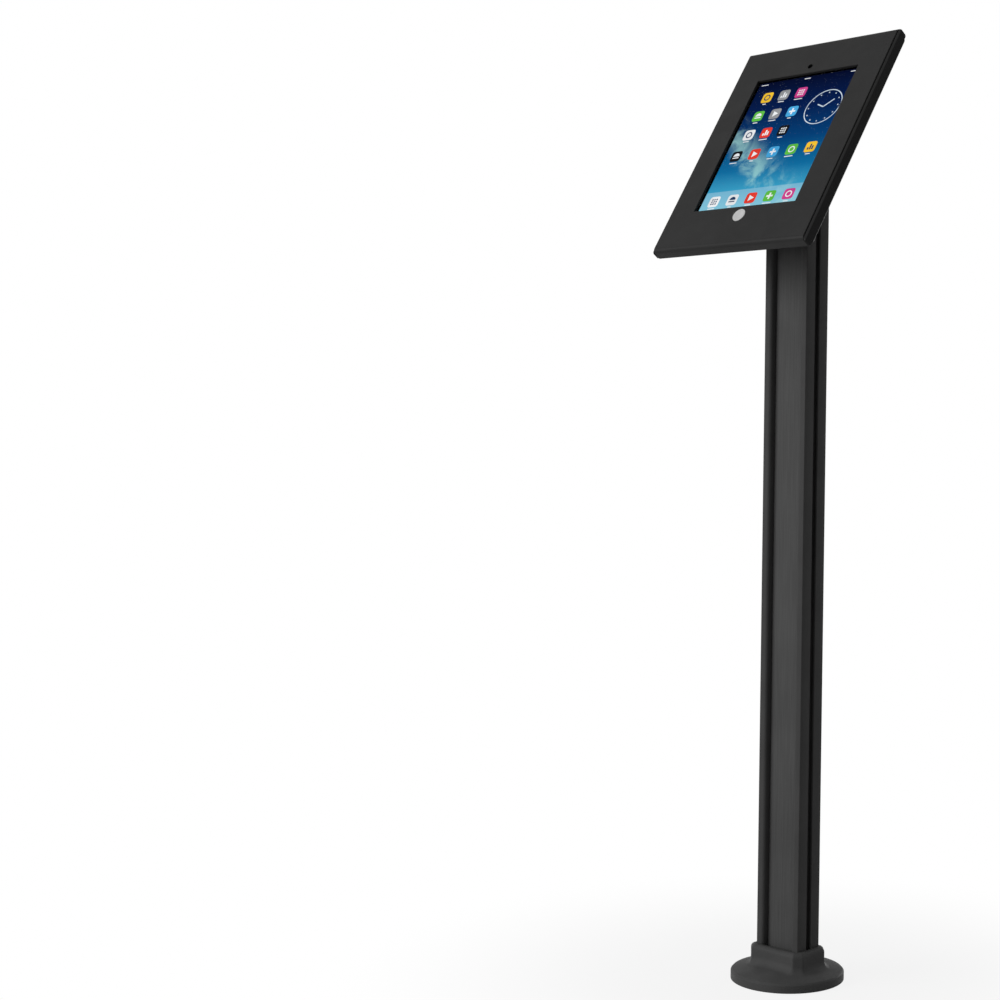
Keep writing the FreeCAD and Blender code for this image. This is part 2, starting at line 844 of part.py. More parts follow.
def rear_panel():
    return channel_strip(1)


def post_top_screws():
    """Socket-head screws through the bracket's base into the post's ports."""
    screws = []
    for x, y in post_corners():
        tip = base_top - post_screw_length
        head_top = base_top + post_screw_head_height
        profile = [(0, tip), (port_radius, tip), (port_radius, base_top),
                   (post_screw_head_radius, base_top),
                   (post_screw_head_radius, head_top - post_screw_head_chamfer),
                   (post_screw_head_radius - post_screw_head_chamfer, head_top), (0, head_top)]
        screw = turned(profile, (x, y, 0), Z)
        socket = hexagon_prism(2 * hex_socket_radius, (x, y, head_top - hex_socket_depth),
                               (x, y, head_top + overshoot))
        screws.append(screw.cut(socket))
    return screws


def countersunk_profile(clearance):
    """Flush screw head and shank, (radius, height) from the flange's underside up."""
    shank = port_radius + clearance
    depth = countersink_radius - port_radius
    return [(0, 0), (countersink_radius + clearance, 0), (shank, depth)], shank


def floor_flange():
    flange = cylinder(flange_radius, (0, 0, 0), (0, 0, flange_thickness))
    top_edges = [edge for edge in flange.Edges if edge.BoundBox.ZMin > flange_thickness - 0.01]
    flange = flange.makeChamfer(flange_edge_chamfer, top_edges)
    for i in range(anchor_count):
        angle = math.radians(360 / anchor_count * (i + 0.5))
        x = anchor_circle_radius * math.cos(angle)
        y = anchor_circle_radius * math.sin(angle)
        flange = flange.cut(bore_z(anchor_hole_radius, x, y, 0, flange_thickness))
    flange = flange.cut(opening_z(cable_pass(), 0, flange_thickness))
    head, shank = countersunk_profile(post_screw_shank_gap)
    seat_top = flange_thickness + overshoot
    seat = head + [(shank, seat_top), (0, seat_top)]
    for x, y in post_corners():
        flange = flange.cut(turned(seat, (x, y, 0), Z))
    return flange


def post_bottom_screws():
    head, shank = countersunk_profile(0.0)
    profile = head + [(shank, post_screw_length), (0, post_screw_length)]
    screws = []
    for x, y in post_corners():
        screw = turned(profile, (x, y, 0), Z)
        screws.append(screw.cut(hexagon_prism(2 * hex_socket_radius, (x, y, -overshoot),
                                              (x, y, hex_socket_depth))))
    return screws


def cover_disc(inset, floor_z):
    """Round part of the foot cover: rim, step and flare, drawn in by the inset."""
    rim = cover_radius - inset
    rim_top = cover_rim_height - inset
    flare_top = cover_flare_top_height - inset
    flare_start = point(rim - cover_step, 0, rim_top + cover_step_height)
    flare_end = point(cover_flare_top_radius, 0, flare_top)
    flare_middle = (flare_start + flare_end) * 0.5 + point(0, 0, cover_flare_bulge)
    corners = [point(0, 0, flare_top), point(0, 0, floor_z), point(rim, 0, floor_z),
               point(rim, 0, rim_top), flare_start]
    edges = [Part.LineSegment(corners[i], corners[i + 1]).toShape() for i in range(4)]
    edges.append(Part.Arc(flare_start, flare_middle, flare_end).toShape())
    edges.append(Part.LineSegment(flare_end, corners[0]).toShape())
    return Part.Face(Part.Wire(edges)).revolve(ORIGIN, Z, 360)


def cover_collar(inset, edge_round, top_round, floor_z):
    """Collar of the foot cover round the post, drawn in by the inset."""
    half_width = post_width / 2 + collar_offset - inset
    half_depth = post_depth / 2 + collar_offset - inset
    cut = collar_chamfer - inset * (2 - math.sqrt(2))
    top = collar_height - inset
    quarter = [(half_width - cut, -half_depth, edge_round), (half_width, -half_depth + cut, edge_round)]
    collar = prism(four_fold(quarter), floor_z, top)
    top_edges = [edge for edge in collar.Edges if edge.BoundBox.ZMin > top - 0.01]
    return collar.makeFillet(top_round, top_edges)


def cover_body(inset, edge_round, top_round, floor_z):
    """Disc and collar in one, drawn in by the inset, with the collar's foot blended in."""
    body = cover_disc(inset, floor_z)
    body = body.fuse(cover_collar(inset, edge_round, top_round, floor_z)).removeSplitter()
    foot_edges = [edge for edge in body.Edges
                  if edge.BoundBox.ZMin > cover_rim_height + cover_step_height - inset + 0.01
                  and edge.BoundBox.ZMax < cover_flare_top_height - inset]
    return body.makeFillet(collar_foot_fillet + inset, foot_edges)


def base_cover():
    outside = cover_body(0, collar_edge_round, collar_top_round, 0)
    rim_edges = [edge for edge in outside.Edges
                 if edge.BoundBox.XMax > cover_radius - 0.01
                 and edge.BoundBox.ZMin > cover_rim_height - 0.01]
    outside = outside.makeFillet(cover_rim_round, rim_edges)
    inside = cover_body(cover_wall, 0, collar_inner_top_round, -overshoot)
    opening = rectangle(post_width + 2 * collar_post_gap, post_depth + 2 * collar_post_gap,
                        bead_outer_round)
    return outside.cut(inside).cut(opening_z(opening, 0, collar_height))


HEAD_PIECES = {
    "rear_tray": rear_tray,
    "tray_sides": tray_sides,
    "hinge_pins": hinge_pins,
    "front_cover": front_cover,
    "window_gasket": window_gasket,
    "home_button": home_button,
    "button_retainer": button_retainer,
    "button_spring": button_spring,
    "cover_catch": cover_catch,
    "lock_housing": lock_housing,
    "lock_nut": lock_nut,
    "lock_plug": lock_plug,
    "lock_tongue": lock_tongue,
    "tongue_screw": tongue_screw,
    "edge_blocks_side": edge_blocks_side,
    "edge_blocks_top": edge_blocks_top,
    "edge_blocks_bottom": edge_blocks_bottom,
    "rear_pads": rear_pads,
    "cable_grommet": cable_grommet,
    "tray_nuts": tray_nuts,
    "bracket_screws": bracket_screws,
    "bracket_plate": bracket_plate,
    "tablet_housing": tablet_housing,
    "tablet_glass": tablet_glass,
    "tablet_display": tablet_display,
    "tablet_camera": tablet_camera,
    "tablet_home_sensor": tablet_home_sensor,
}

STAND_PIECES = {
    "bracket_base": bracket_base,
    "bracket_cheeks": bracket_cheeks,
    "post_top_screws": post_top_screws,
    "post_extrusion": post_extrusion,
    "front_panel": front_panel,
    "rear_panel": rear_panel,
    "post_bottom_screws": post_bottom_screws,
    "floor_flange": floor_flange,
    "base_cover": base_cover,
}


def solids_of(made):
    """A piece's solids, whether its function gave one shape or a list of them."""
    shapes = made if isinstance(made, list) else [made]
    return [solid for shape in shapes for solid in shape.Solids]


def main():
    os.makedirs("parts", exist_ok=True)
    for pieces, leaned in ((HEAD_PIECES, True), (STAND_PIECES, False)):
        for name, make in pieces.items():
            solids = solids_of(make())
            if leaned:
                solids = [lean(solid) for solid in solids]
            shape = solids[0] if len(solids) == 1 else Part.makeCompound(solids)
            shape.exportStep("parts/" + name + ".step")
            volume = sum(solid.Volume for solid in solids) / 1000
            valid = all(solid.isValid() for solid in solids)
            print(f"{name}: {len(solids)} solid(s), {volume:.2f} cm3, valid {valid}")


main()
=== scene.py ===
"""Looks of a floor-standing tablet mount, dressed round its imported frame.

Sizes are in millimetres. A piece of the head is drawn upright, x to the right, y back from the
face and z up from its middle, and is then leaned back. Finished meshes are in metres, +Z up, with
the screen facing -Y.
"""
import logging
import math
import random
from dataclasses import asdict, dataclass, field, fields
from enum import Enum

import bmesh
import bpy
from mathutils import Matrix, Vector


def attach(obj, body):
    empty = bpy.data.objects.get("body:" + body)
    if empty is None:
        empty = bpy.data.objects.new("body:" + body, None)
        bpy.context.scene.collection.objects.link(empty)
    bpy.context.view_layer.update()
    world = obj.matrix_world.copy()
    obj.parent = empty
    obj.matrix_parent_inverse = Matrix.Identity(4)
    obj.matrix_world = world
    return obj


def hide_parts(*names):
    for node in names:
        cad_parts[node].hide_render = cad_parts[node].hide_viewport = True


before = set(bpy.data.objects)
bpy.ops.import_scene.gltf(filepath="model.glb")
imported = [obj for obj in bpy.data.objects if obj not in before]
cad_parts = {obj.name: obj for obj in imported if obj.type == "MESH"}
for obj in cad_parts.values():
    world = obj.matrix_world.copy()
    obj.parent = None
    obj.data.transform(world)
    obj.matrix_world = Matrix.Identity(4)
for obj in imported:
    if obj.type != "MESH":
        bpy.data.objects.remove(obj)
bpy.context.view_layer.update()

log = logging.getLogger("tablet_mount")

MM = 0.001
MERGE_MM = 0.0005
SMOOTH_BELOW_DEG = 30.0
QUARTER_TURN = math.pi / 2
TILE_COLOUR = "tile_colour"

Point2 = tuple[float, float]
Point3 = tuple[float, float, float]
Colour = tuple[float, float, float]
Span = tuple[float, float]
Ring = list[Point2]

BLACK: Colour = (0.0, 0.0, 0.0)
WHITE: Colour = (1.0, 1.0, 1.0)


def linear(red: float, green: float, blue: float) -> Colour:
    """Turn a screen colour, 0 to 255, into the linear colour that a shader takes.

    Args:
        red: red as shown on a screen.
        green: green as shown on a screen.
        blue: blue as shown on a screen.

    Returns:
        The linear colour, 0 to 1.
    """
    def channel(value: float) -> float:
        """Undo the screen's gamma for one channel."""
        value /= 255.0
        return value / 12.92 if value <= 0.04045 else ((value + 0.055) / 1.055) ** 2.4
    return channel(red), channel(green), channel(blue)


def grey(value: float) -> Colour:
    """Linear grey from a screen value, 0 to 255."""
    return linear(value, value, value)


def toned(colour: Colour, factor: float, lift: float = 0.0) -> Colour:
    """Colour made darker or lighter by a factor, kept at 1 or less."""
    return tuple(min(1.0, value * factor + lift) for value in colour)


def input_label(name: str) -> str:
    """Label of the tree input that takes a field, such as Head Radius for head_radius."""
    return name.replace("_", " ").title()


# Node trees

class Graph:
    """Short way to add and link the nodes of one tree."""

    def __init__(self, tree: bpy.types.NodeTree) -> None:
        """Keep the tree that the nodes go into."""
        self.tree = tree

    def add(self, kind: str, inputs: dict | None = None, **settings: object) -> bpy.types.Node:
        """Add a node.

        Args:
            kind: the node's type.
            inputs: what goes into its sockets, by name or number: a value, a socket or a node.
            settings: the node's own properties.

        Returns:
            The new node.
        """
        node = self.tree.nodes.new(kind)
        for name, value in settings.items():
            setattr(node, name, value)
        self.feed(node, inputs or {})
        return node

    def feed(self, node: bpy.types.Node, inputs: dict) -> None:
        """Feed several sockets of a node, by name or number."""
        for key, value in inputs.items():
            self.link(node.inputs[key], value)

    def link(self, socket: bpy.types.NodeSocket, value: object) -> None:
        """Link a node or socket to a socket, or set the socket's own value.

        Args:
            socket: the input socket.
            value: a node, whose first output is taken, an output socket, or a plain value.
        """
        if isinstance(value, bpy.types.Node):
            value = value.outputs[0]
        if isinstance(value, bpy.types.NodeSocket):
            self.tree.links.new(value, socket)
        elif isinstance(value, tuple) and len(value) == 3 and socket.type == "RGBA":
            socket.default_value = (*value, 1.0)
        else:
            socket.default_value = value

    def math(self, operation: str, first: object, second: object = 0.0) -> bpy.types.Node:
        """Math node on one or two numbers."""
        return self.add("ShaderNodeMath", {0: first, 1: second}, operation=operation)

    def times(self, first: object, second: object) -> bpy.types.Node:
        """Product of two numbers."""
        return self.math("MULTIPLY", first, second)

    def plus(self, first: object, second: object) -> bpy.types.Node:
        """Sum of two numbers."""
        return self.math("ADD", first, second)

    def minus(self, first: object, second: object) -> bpy.types.Node:
        """First number less the second."""
        return self.math("SUBTRACT", first, second)

    def over(self, first: object, second: object) -> bpy.types.Node:
        """First number divided by the second."""
        return self.math("DIVIDE", first, second)

    def vector(self, **axes: object) -> bpy.types.Node:
        """Vector from its axes X, Y and Z, each 0 where it isn't given."""
        return self.add("ShaderNodeCombineXYZ", axes)

    def mix(self, factor: object, first: object, second: object) -> bpy.types.NodeSocket:
        """Blend two colours.

        Args:
            factor: how much of the second colour shows.
            first: colour at 0.
            second: colour at 1.

        Returns:
            The blended colour's socket.
        """
        node = self.add("ShaderNodeMix", {"Factor": factor}, data_type="RGBA")
        colours = [socket for socket in node.inputs if socket.type == "RGBA"]
        self.link(colours[0], first)
        self.link(colours[1], second)
        return next(socket for socket in node.outputs if socket.type == "RGBA")

    def ramp(self, factor: object, stops: tuple[tuple[float, Colour], ...]) -> bpy.types.NodeSocket:
        """Colour ramp.

        Args:
            factor: where on the ramp.
            stops: position and colour of each stop, in order.

        Returns:
            The colour's socket.
        """
        node = self.add("ShaderNodeValToRGB", {0: factor})
        elements = node.color_ramp.elements
        while len(elements) < len(stops):
            elements.new(1.0)
        for element, (position, colour) in zip(elements, stops):
            element.position = position
            element.color = (*colour, 1.0)
        return node.outputs["Color"]

    def mask(self, value: object, low: float, high: float) -> bpy.types.NodeSocket:
        """Number that goes smoothly from 0 at low to 1 at high."""
        node = self.add("ShaderNodeMapRange", {"Value": value, "From Min": low, "From Max": high},
                        interpolation_type="SMOOTHSTEP")
        return node.outputs["Result"]

    def noise(self, place: object, scale: float, detail: float,
              **more: float) -> bpy.types.NodeSocket:
        """Noise, about 0 to 1.

        Args:
            place: where it is read.
            scale: how fine it is.
            detail: how many finer layers it has.
            more: its other inputs, by name.

        Returns:
            The noise's socket.
        """
        inputs = {"Vector": place, "Scale": scale, "Detail": detail, **more}
        return self.add("ShaderNodeTexNoise", inputs).outputs[0]

    def object_place(self) -> bpy.types.NodeSocket:
        """Place on the object, in metres."""
        return self.add("ShaderNodeTexCoord").outputs["Object"]

    def facing(self, direction: object) -> bpy.types.NodeSocket:
        """How far the surface faces a direction, 1 where it does.

        Args:
            direction: the direction, of length 1.

        Returns:
            The number's socket.
        """
        surface = self.add("ShaderNodeNewGeometry")
        dot = self.add("ShaderNodeVectorMath", {0: surface.outputs["Normal"], 1: direction},
                       operation="DOT_PRODUCT")
        return dot.outputs["Value"]

    def shows_background(self) -> bpy.types.Node:
        """Find the rays that see a background as it is: from the camera, metal and glass.

        Returns:
            A node that gives 1 on those rays and 0 on others.
        """
        path = self.add("ShaderNodeLightPath")
        shown = self.math("MAXIMUM", path.outputs["Is Camera Ray"], path.outputs["Is Glossy Ray"])
        return self.math("MAXIMUM", shown, path.outputs["Is Transmission Ray"])

    def group(self, tree: bpy.types.NodeTree, inputs: dict) -> bpy.types.Node:
        """Place a shader node group with its own values."""
        return self.add("ShaderNodeGroup", inputs, node_tree=tree)

    def join(self, *parts: object) -> bpy.types.Node:
        """Join the geometry that some nodes give.

        Args:
            parts: the nodes.

        Returns:
            The joining node.
        """
        node = self.add("GeometryNodeJoinGeometry")
        for part in parts:
            self.link(node.inputs[0], part)
        return node

    def lifted(self, shape: object, height: object) -> bpy.types.Node:
        """Shape moved up by a height."""
        return self.add("GeometryNodeTransform",
                        {"Geometry": shape, "Translation": self.vector(Z=height)})


def new_tree(name: str, kind: str, inputs: list[tuple[str, str]],
             outputs: list[tuple[str, str]]) -> tuple[Graph, bpy.types.Node, bpy.types.Node]:
    """Start a node group with named sockets.

    Args:
        name: the group's name.
        kind: ShaderNodeTree or GeometryNodeTree.
        inputs: name and type of each input, the type without its NodeSocket prefix.
        outputs: the same for the outputs.

    Returns:
        The graph, its input node and its output node.
    """
    tree = bpy.data.node_groups.new(name, kind)
    for way, sockets in (("INPUT", inputs), ("OUTPUT", outputs)):
        for label, socket_type in sockets:
            tree.interface.new_socket(label, in_out=way, socket_type="NodeSocket" + socket_type)
    graph = Graph(tree)
    return graph, graph.add("NodeGroupInput"), graph.add("NodeGroupOutput")


def new_material(name: str) -> tuple[bpy.types.Material, Graph, bpy.types.Node]:
    """Start a material.

    Args:
        name: the material's name.

    Returns:
        The material, its graph and its Principled shader.
    """
    material = bpy.data.materials.new(name)
    material.use_nodes = True
    tree = material.node_tree
    return material, Graph(tree), tree.nodes["Principled BSDF"]


# Shared shader groups

class Grain(Enum):
    """Surface textures that the finishes choose from."""
    POWDER = "powder_grain"
    MOULDED = "moulded_grain"
    BRUSHED = "brushed_lines"
    BLASTED = "blasted_grain"
    FOAM = "foam_cells"


class ShaderGroups:
    """The node groups that more than one finish uses, each built once."""
    DETAIL = {Grain.POWDER: 2.0, Grain.MOULDED: 4.0, Grain.BRUSHED: 3.0, Grain.BLASTED: 1.0}
    LINE_STRETCH = 0.03
    GRAIN_SHARE = 0.5
    HEIGHT_SPAN: Span = (0.25, 0.75)
    PATCH_SCALE = 0.012
    PATCH_DETAIL = 2.0
    PATCH_SPAN: Span = (0.3, 0.7)
    BEVEL_SAMPLES = 4
    EDGE_SPAN: Span = (0.995, 0.8)
    SMEAR_SCALE = 14.0
    SMEAR_DETAIL = 5.0
    SMEAR_DISTORTION = 1.2
    SMEAR_SPAN: Span = (0.42, 0.72)
    DUST_SCALE = 60.0
    DUST_DETAIL = 6.0
    DUST_UPRIGHT: Span = (0.35, 1.0)
    DUST_SPAN: Span = (0.35, 0.8)

    def __init__(self) -> None:
        """Build every group."""
        self.grain = {kind: self._grain(kind) for kind in Grain}
        self.edges = self._edges()
        self.handling = self._handling()
        self.dust = self._dust()

    def _grain(self, kind: Grain) -> bpy.types.NodeTree:
        """Build one surface texture.

        Args:
            kind: which texture.

        Returns:
            A group that takes a place in metres and a grain size in mm, and gives a height and a
            tone, both about 0 to 1.
        """
        graph, given, result = new_tree(kind.value, "ShaderNodeTree",
                                        [("Place", "Vector"), ("Size", "Float")],
                                        [("Height", "Float"), ("Tone", "Float")])
        per_metre = graph.over(1.0 / MM, given.outputs["Size"])
        place = graph.add("ShaderNodeVectorMath",
                          {0: given.outputs["Place"], "Scale": per_metre}, operation="SCALE")
        if kind is Grain.FOAM:
            fine = graph.add("ShaderNodeTexVoronoi", {"Vector": place, "Scale": 1.0},
                             feature="SMOOTH_F1")
        else:
            drawn = place
            if kind is Grain.BRUSHED:
                drawn = graph.add("ShaderNodeMapping",
                                  {"Vector": place, "Scale": (1.0, 1.0, self.LINE_STRETCH)})
            fine = graph.noise(drawn, 1.0, self.DETAIL[kind])
        height = graph.mask(fine, *self.HEIGHT_SPAN)
        patches = graph.mask(graph.noise(place, self.PATCH_SCALE, self.PATCH_DETAIL),
                             *self.PATCH_SPAN)
        tone = graph.plus(graph.times(height, self.GRAIN_SHARE),
                          graph.times(patches, 1.0 - self.GRAIN_SHARE))
        graph.feed(result, {"Height": height, "Tone": tone})
        return graph.tree

    def _edges(self) -> bpy.types.NodeTree:
        """Build the group that finds and rounds sharp edges.

        Returns:
            A group that takes a radius in mm and gives an edge mask and a rounded normal.
        """
        graph, given, result = new_tree("soft_edges", "ShaderNodeTree", [("Radius", "Float")],
                                        [("Edge", "Float"), ("Normal", "Vector")])
        rounded_normal = graph.add("ShaderNodeBevel",
                                   {"Radius": graph.times(given.outputs["Radius"], MM)},
                                   samples=self.BEVEL_SAMPLES)
        edge = graph.mask(graph.facing(rounded_normal), *self.EDGE_SPAN)
        graph.feed(result, {"Edge": edge, "Normal": rounded_normal})
        return graph.tree

    def _handling(self) -> bpy.types.NodeTree:
        """Build the faint smears that handling leaves.

        Returns:
            A group that takes a place and gives a mask.
        """
        graph, given, result = new_tree("handling_smears", "ShaderNodeTree",
                                        [("Place", "Vector")], [("Smear", "Float")])
        noise = graph.noise(given.outputs["Place"], self.SMEAR_SCALE, self.SMEAR_DETAIL,
                            Distortion=self.SMEAR_DISTORTION)
        graph.feed(result, {"Smear": graph.mask(noise, *self.SMEAR_SPAN)})
        return graph.tree

    def _dust(self) -> bpy.types.NodeTree:
        """Build the thin dust that settles on what faces up.

        Returns:
            A group that takes a place and gives a mask.
        """
        graph, given, result = new_tree("settled_dust", "ShaderNodeTree",
                                        [("Place", "Vector")], [("Dust", "Float")])
        noise = graph.noise(given.outputs["Place"], self.DUST_SCALE, self.DUST_DETAIL)
        dust = graph.times(graph.mask(graph.facing((0.0, 0.0, 1.0)), *self.DUST_UPRIGHT),
                           graph.mask(noise, *self.DUST_SPAN))
        graph.feed(result, {"Dust": dust})
        return graph.tree


# Finishes

@dataclass(frozen=True)
class Finish:
    """A solid finish: its colour, gloss and grain, and how edges, smears and dust show on it.
    Lighter edges are part wear, part painted highlight; a finish may also paint a highlight on what
    faces the front.
    """
    name: str
    colour: Colour
    roughness: float
    grain: Grain
    grain_mm: float
    bump_mm: float
    metallic: float = 0.0
    specular: float = 0.5
    tone_range: float = 0.12
    roughness_range: float = 0.08
    # edges come out lighter: part wear, part painted highlight
    edge_mm: float = 0.35
    edge_wear_highlight_tone: float = 0.35
    dust: float = 0.03
    coat: float = 0.0
    # painted highlight: a lighter colour laid on what faces the front, standing in for light caught
    # on a fold
    front_highlight_colour: Colour | None = None
    front: Point3 = (0.0, -0.84, 0.54)

    EDGE_SHARE = 0.6
    EDGE_LIFT = 0.01
    DUST_COLOUR = grey(170)
    HIGHLIGHT_FACING_SPAN = (0.02, 0.4)
    TONE_ROUGHNESS = 0.06

    def material(self, shaders: ShaderGroups) -> bpy.types.Material:
        """Build the material.

        Args:
            shaders: the shared groups.

        Returns:
            The new material.
        """
        material, graph, shader = new_material(self.name)
        place = graph.object_place()
        grain = graph.group(shaders.grain[self.grain], {"Place": place, "Size": self.grain_mm})
        edges = graph.group(shaders.edges, {"Radius": self.edge_mm})
        smear = graph.group(shaders.handling, {"Place": place})
        dust = graph.group(shaders.dust, {"Place": place})

        tone = grain.outputs["Tone"]
        base = graph.mix(tone, toned(self.colour, 1.0 - self.tone_range),
                         toned(self.colour, 1.0 + self.tone_range))
        # Lighter edges: part wear, part painted highlight along edges and bends.
        base = graph.mix(graph.times(edges.outputs["Edge"], self.EDGE_SHARE), base,
                         toned(self.colour, 1.0 + self.edge_wear_highlight_tone, self.EDGE_LIFT))
        base = graph.mix(graph.times(dust, self.dust), base, self.DUST_COLOUR)
        # Painted highlight: surfaces that face the front take a lighter colour, as if lit on the
        # fold.
        if self.front_highlight_colour:
            painted_highlight = graph.mask(graph.facing(self.front), *self.HIGHLIGHT_FACING_SPAN)
            base = graph.mix(painted_highlight, base, self.front_highlight_colour)

        rough = graph.plus(graph.times(smear, -self.roughness_range),
                           graph.times(tone, self.TONE_ROUGHNESS))
        bump = graph.add("ShaderNodeBump", {"Height": grain.outputs["Height"], "Strength": 1.0,
                                            "Distance": self.bump_mm * MM,
                                            "Normal": edges.outputs["Normal"]})
        graph.feed(shader, {"Base Color": base, "Roughness": graph.plus(rough, self.roughness),
                            "Normal": bump, "Metallic": self.metallic,
                            "Specular IOR Level": self.specular, "Coat Weight": self.coat})
        material.diffuse_color = (*self.colour, 1.0)
        return material


@dataclass(frozen=True)
class ClearGlass:
    """Cover glass with faint smears and hardly any glare, as under a coating against glare."""
    name: str = "cover_glass"
    smear_roughness: float = 0.03
    specular: float = 0.03
    ior: float = 1.015
    viewport: tuple[float, float, float, float] = (0.6, 0.7, 0.8, 0.3)

    def material(self, shaders: ShaderGroups) -> bpy.types.Material:
        """Build the material.

        Args:
            shaders: the shared groups.

        Returns:
            The new material.
        """
        material, graph, shader = new_material(self.name)
        smear = graph.group(shaders.handling, {"Place": graph.object_place()})
        graph.feed(shader, {"Base Color": WHITE, "Transmission Weight": 1.0, "IOR": self.ior,
                            "Roughness": graph.times(smear, self.smear_roughness),
                            "Specular IOR Level": self.specular})
        material.diffuse_color = self.viewport
        return material


def light_up(graph: Graph, shader: bpy.types.Node, colour: object) -> None:
    """Show a colour by the surface's own light, with none thrown back."""
    graph.feed(shader, {"Emission Color": colour, "Emission Strength": 1.0, "Base Color": BLACK,
                        "Roughness": 0.4, "Specular IOR Level": 0.0})


@dataclass(frozen=True)
class LitPicture:
    """The lit display's backdrop: a night-blue to teal sweep, ribbons of light and a pale shelf.

    The sweep and the shelf are measured from 0 at the picture's foot to 1 at its top.
    """
    name: str = "lit_backdrop"
    height_mm: float = 197.0
    stops: tuple[tuple[float, Colour], ...] = (
        (0.00, linear(96, 186, 212)), (0.13, linear(58, 158, 196)), (0.30, linear(16, 106, 156)),
        (0.52, linear(6, 62, 116)), (0.76, linear(7, 30, 78)), (1.00, linear(6, 13, 42)),
    )
    ribbon: Colour = linear(168, 222, 214)
    ribbon_strength: float = 0.62
    ribbon_scale: float = 0.024
    ribbon_detail: float = 8.0
    ribbon_roughness: float = 0.62
    ribbon_distortion: float = 0.9
    ribbon_slope_per_mm: float = 0.0042
    ribbon_wander: float = 0.35
    ribbon_rise: Span = (0.28, 0.44)
    ribbon_fall: Span = (0.66, 0.46)
    ribbon_gaps: Span = (0.42, 0.66)
    star: Colour = grey(235)
    star_strength: float = 0.7
    star_spacing_mm: float = 3.6
    star_edge: Span = (0.09, 0.03)
    star_choice: Span = (0.5, 0.9)
    shelf: Colour = linear(176, 214, 228)
    shelf_strength: float = 0.35
    shelf_edge: Span = (0.149, 0.145)

    def material(self, head: "Head") -> bpy.types.Material:
        """Build the material.

        Args:
            head: how the head leans, so that the picture stays square to the screen.

        Returns:
            The new material.
        """
        material, graph, shader = new_material(self.name)
        place = head.upright_place(graph)
        axes = graph.add("ShaderNodeSeparateXYZ", {0: place})
        foot = head.tablet_rise - self.height_mm / 2
        height = graph.over(graph.minus(axes.outputs["Z"], foot), self.height_mm)
        picture = graph.ramp(height, self.stops)

        clouds = graph.noise(place, self.ribbon_scale, self.ribbon_detail,
                             Roughness=self.ribbon_roughness, Distortion=self.ribbon_distortion)
        slope = graph.plus(graph.times(axes.outputs["X"], self.ribbon_slope_per_mm), height)
        crest = graph.plus(slope, graph.times(clouds, self.ribbon_wander))
        band = graph.times(graph.mask(crest, *self.ribbon_rise),
                           graph.mask(crest, *self.ribbon_fall))
        band = graph.times(band, graph.mask(clouds, *self.ribbon_gaps))
        picture = graph.mix(graph.times(band, self.ribbon_strength), picture, self.ribbon)

        cells = graph.add("ShaderNodeTexVoronoi",
                          {"Vector": place, "Scale": 1.0 / self.star_spacing_mm,
                           "Randomness": 1.0})
        chance = graph.add("ShaderNodeSeparateXYZ", {0: cells.outputs["Color"]})
        stars = graph.times(graph.mask(cells.outputs["Distance"], *self.star_edge),
                            graph.mask(chance, *self.star_choice))
        picture = graph.mix(graph.times(stars, self.star_strength), picture, self.star)

        shelf = graph.times(graph.mask(height, *self.shelf_edge), self.shelf_strength)
        light_up(graph, shader, graph.mix(shelf, picture, self.shelf))
        return material


@dataclass(frozen=True)
class LitTile:
    """Lit tiles of the display, each in the colour that its mesh carries."""
    name: str = "lit_tiles"
    sheen_scale: float = 0.05
    sheen_detail: float = 1.0
    sheen_span: Span = (0.35, 0.65)
    sheen_depth: float = 0.12

    def material(self, head: "Head") -> bpy.types.Material:
        """Build the material.

        Args:
            head: how the head leans, so that the shading of the tiles stays square to the screen.

        Returns:
            The new material.
        """
        material, graph, shader = new_material(self.name)
        colour = graph.add("ShaderNodeAttribute", attribute_name=TILE_COLOUR).outputs["Color"]
        sheen = graph.noise(head.upright_place(graph), self.sheen_scale, self.sheen_detail)
        light_up(graph, shader, graph.mix(graph.mask(sheen, *self.sheen_span), colour,
                                          graph.mix(self.sheen_depth, colour, BLACK)))
        return material


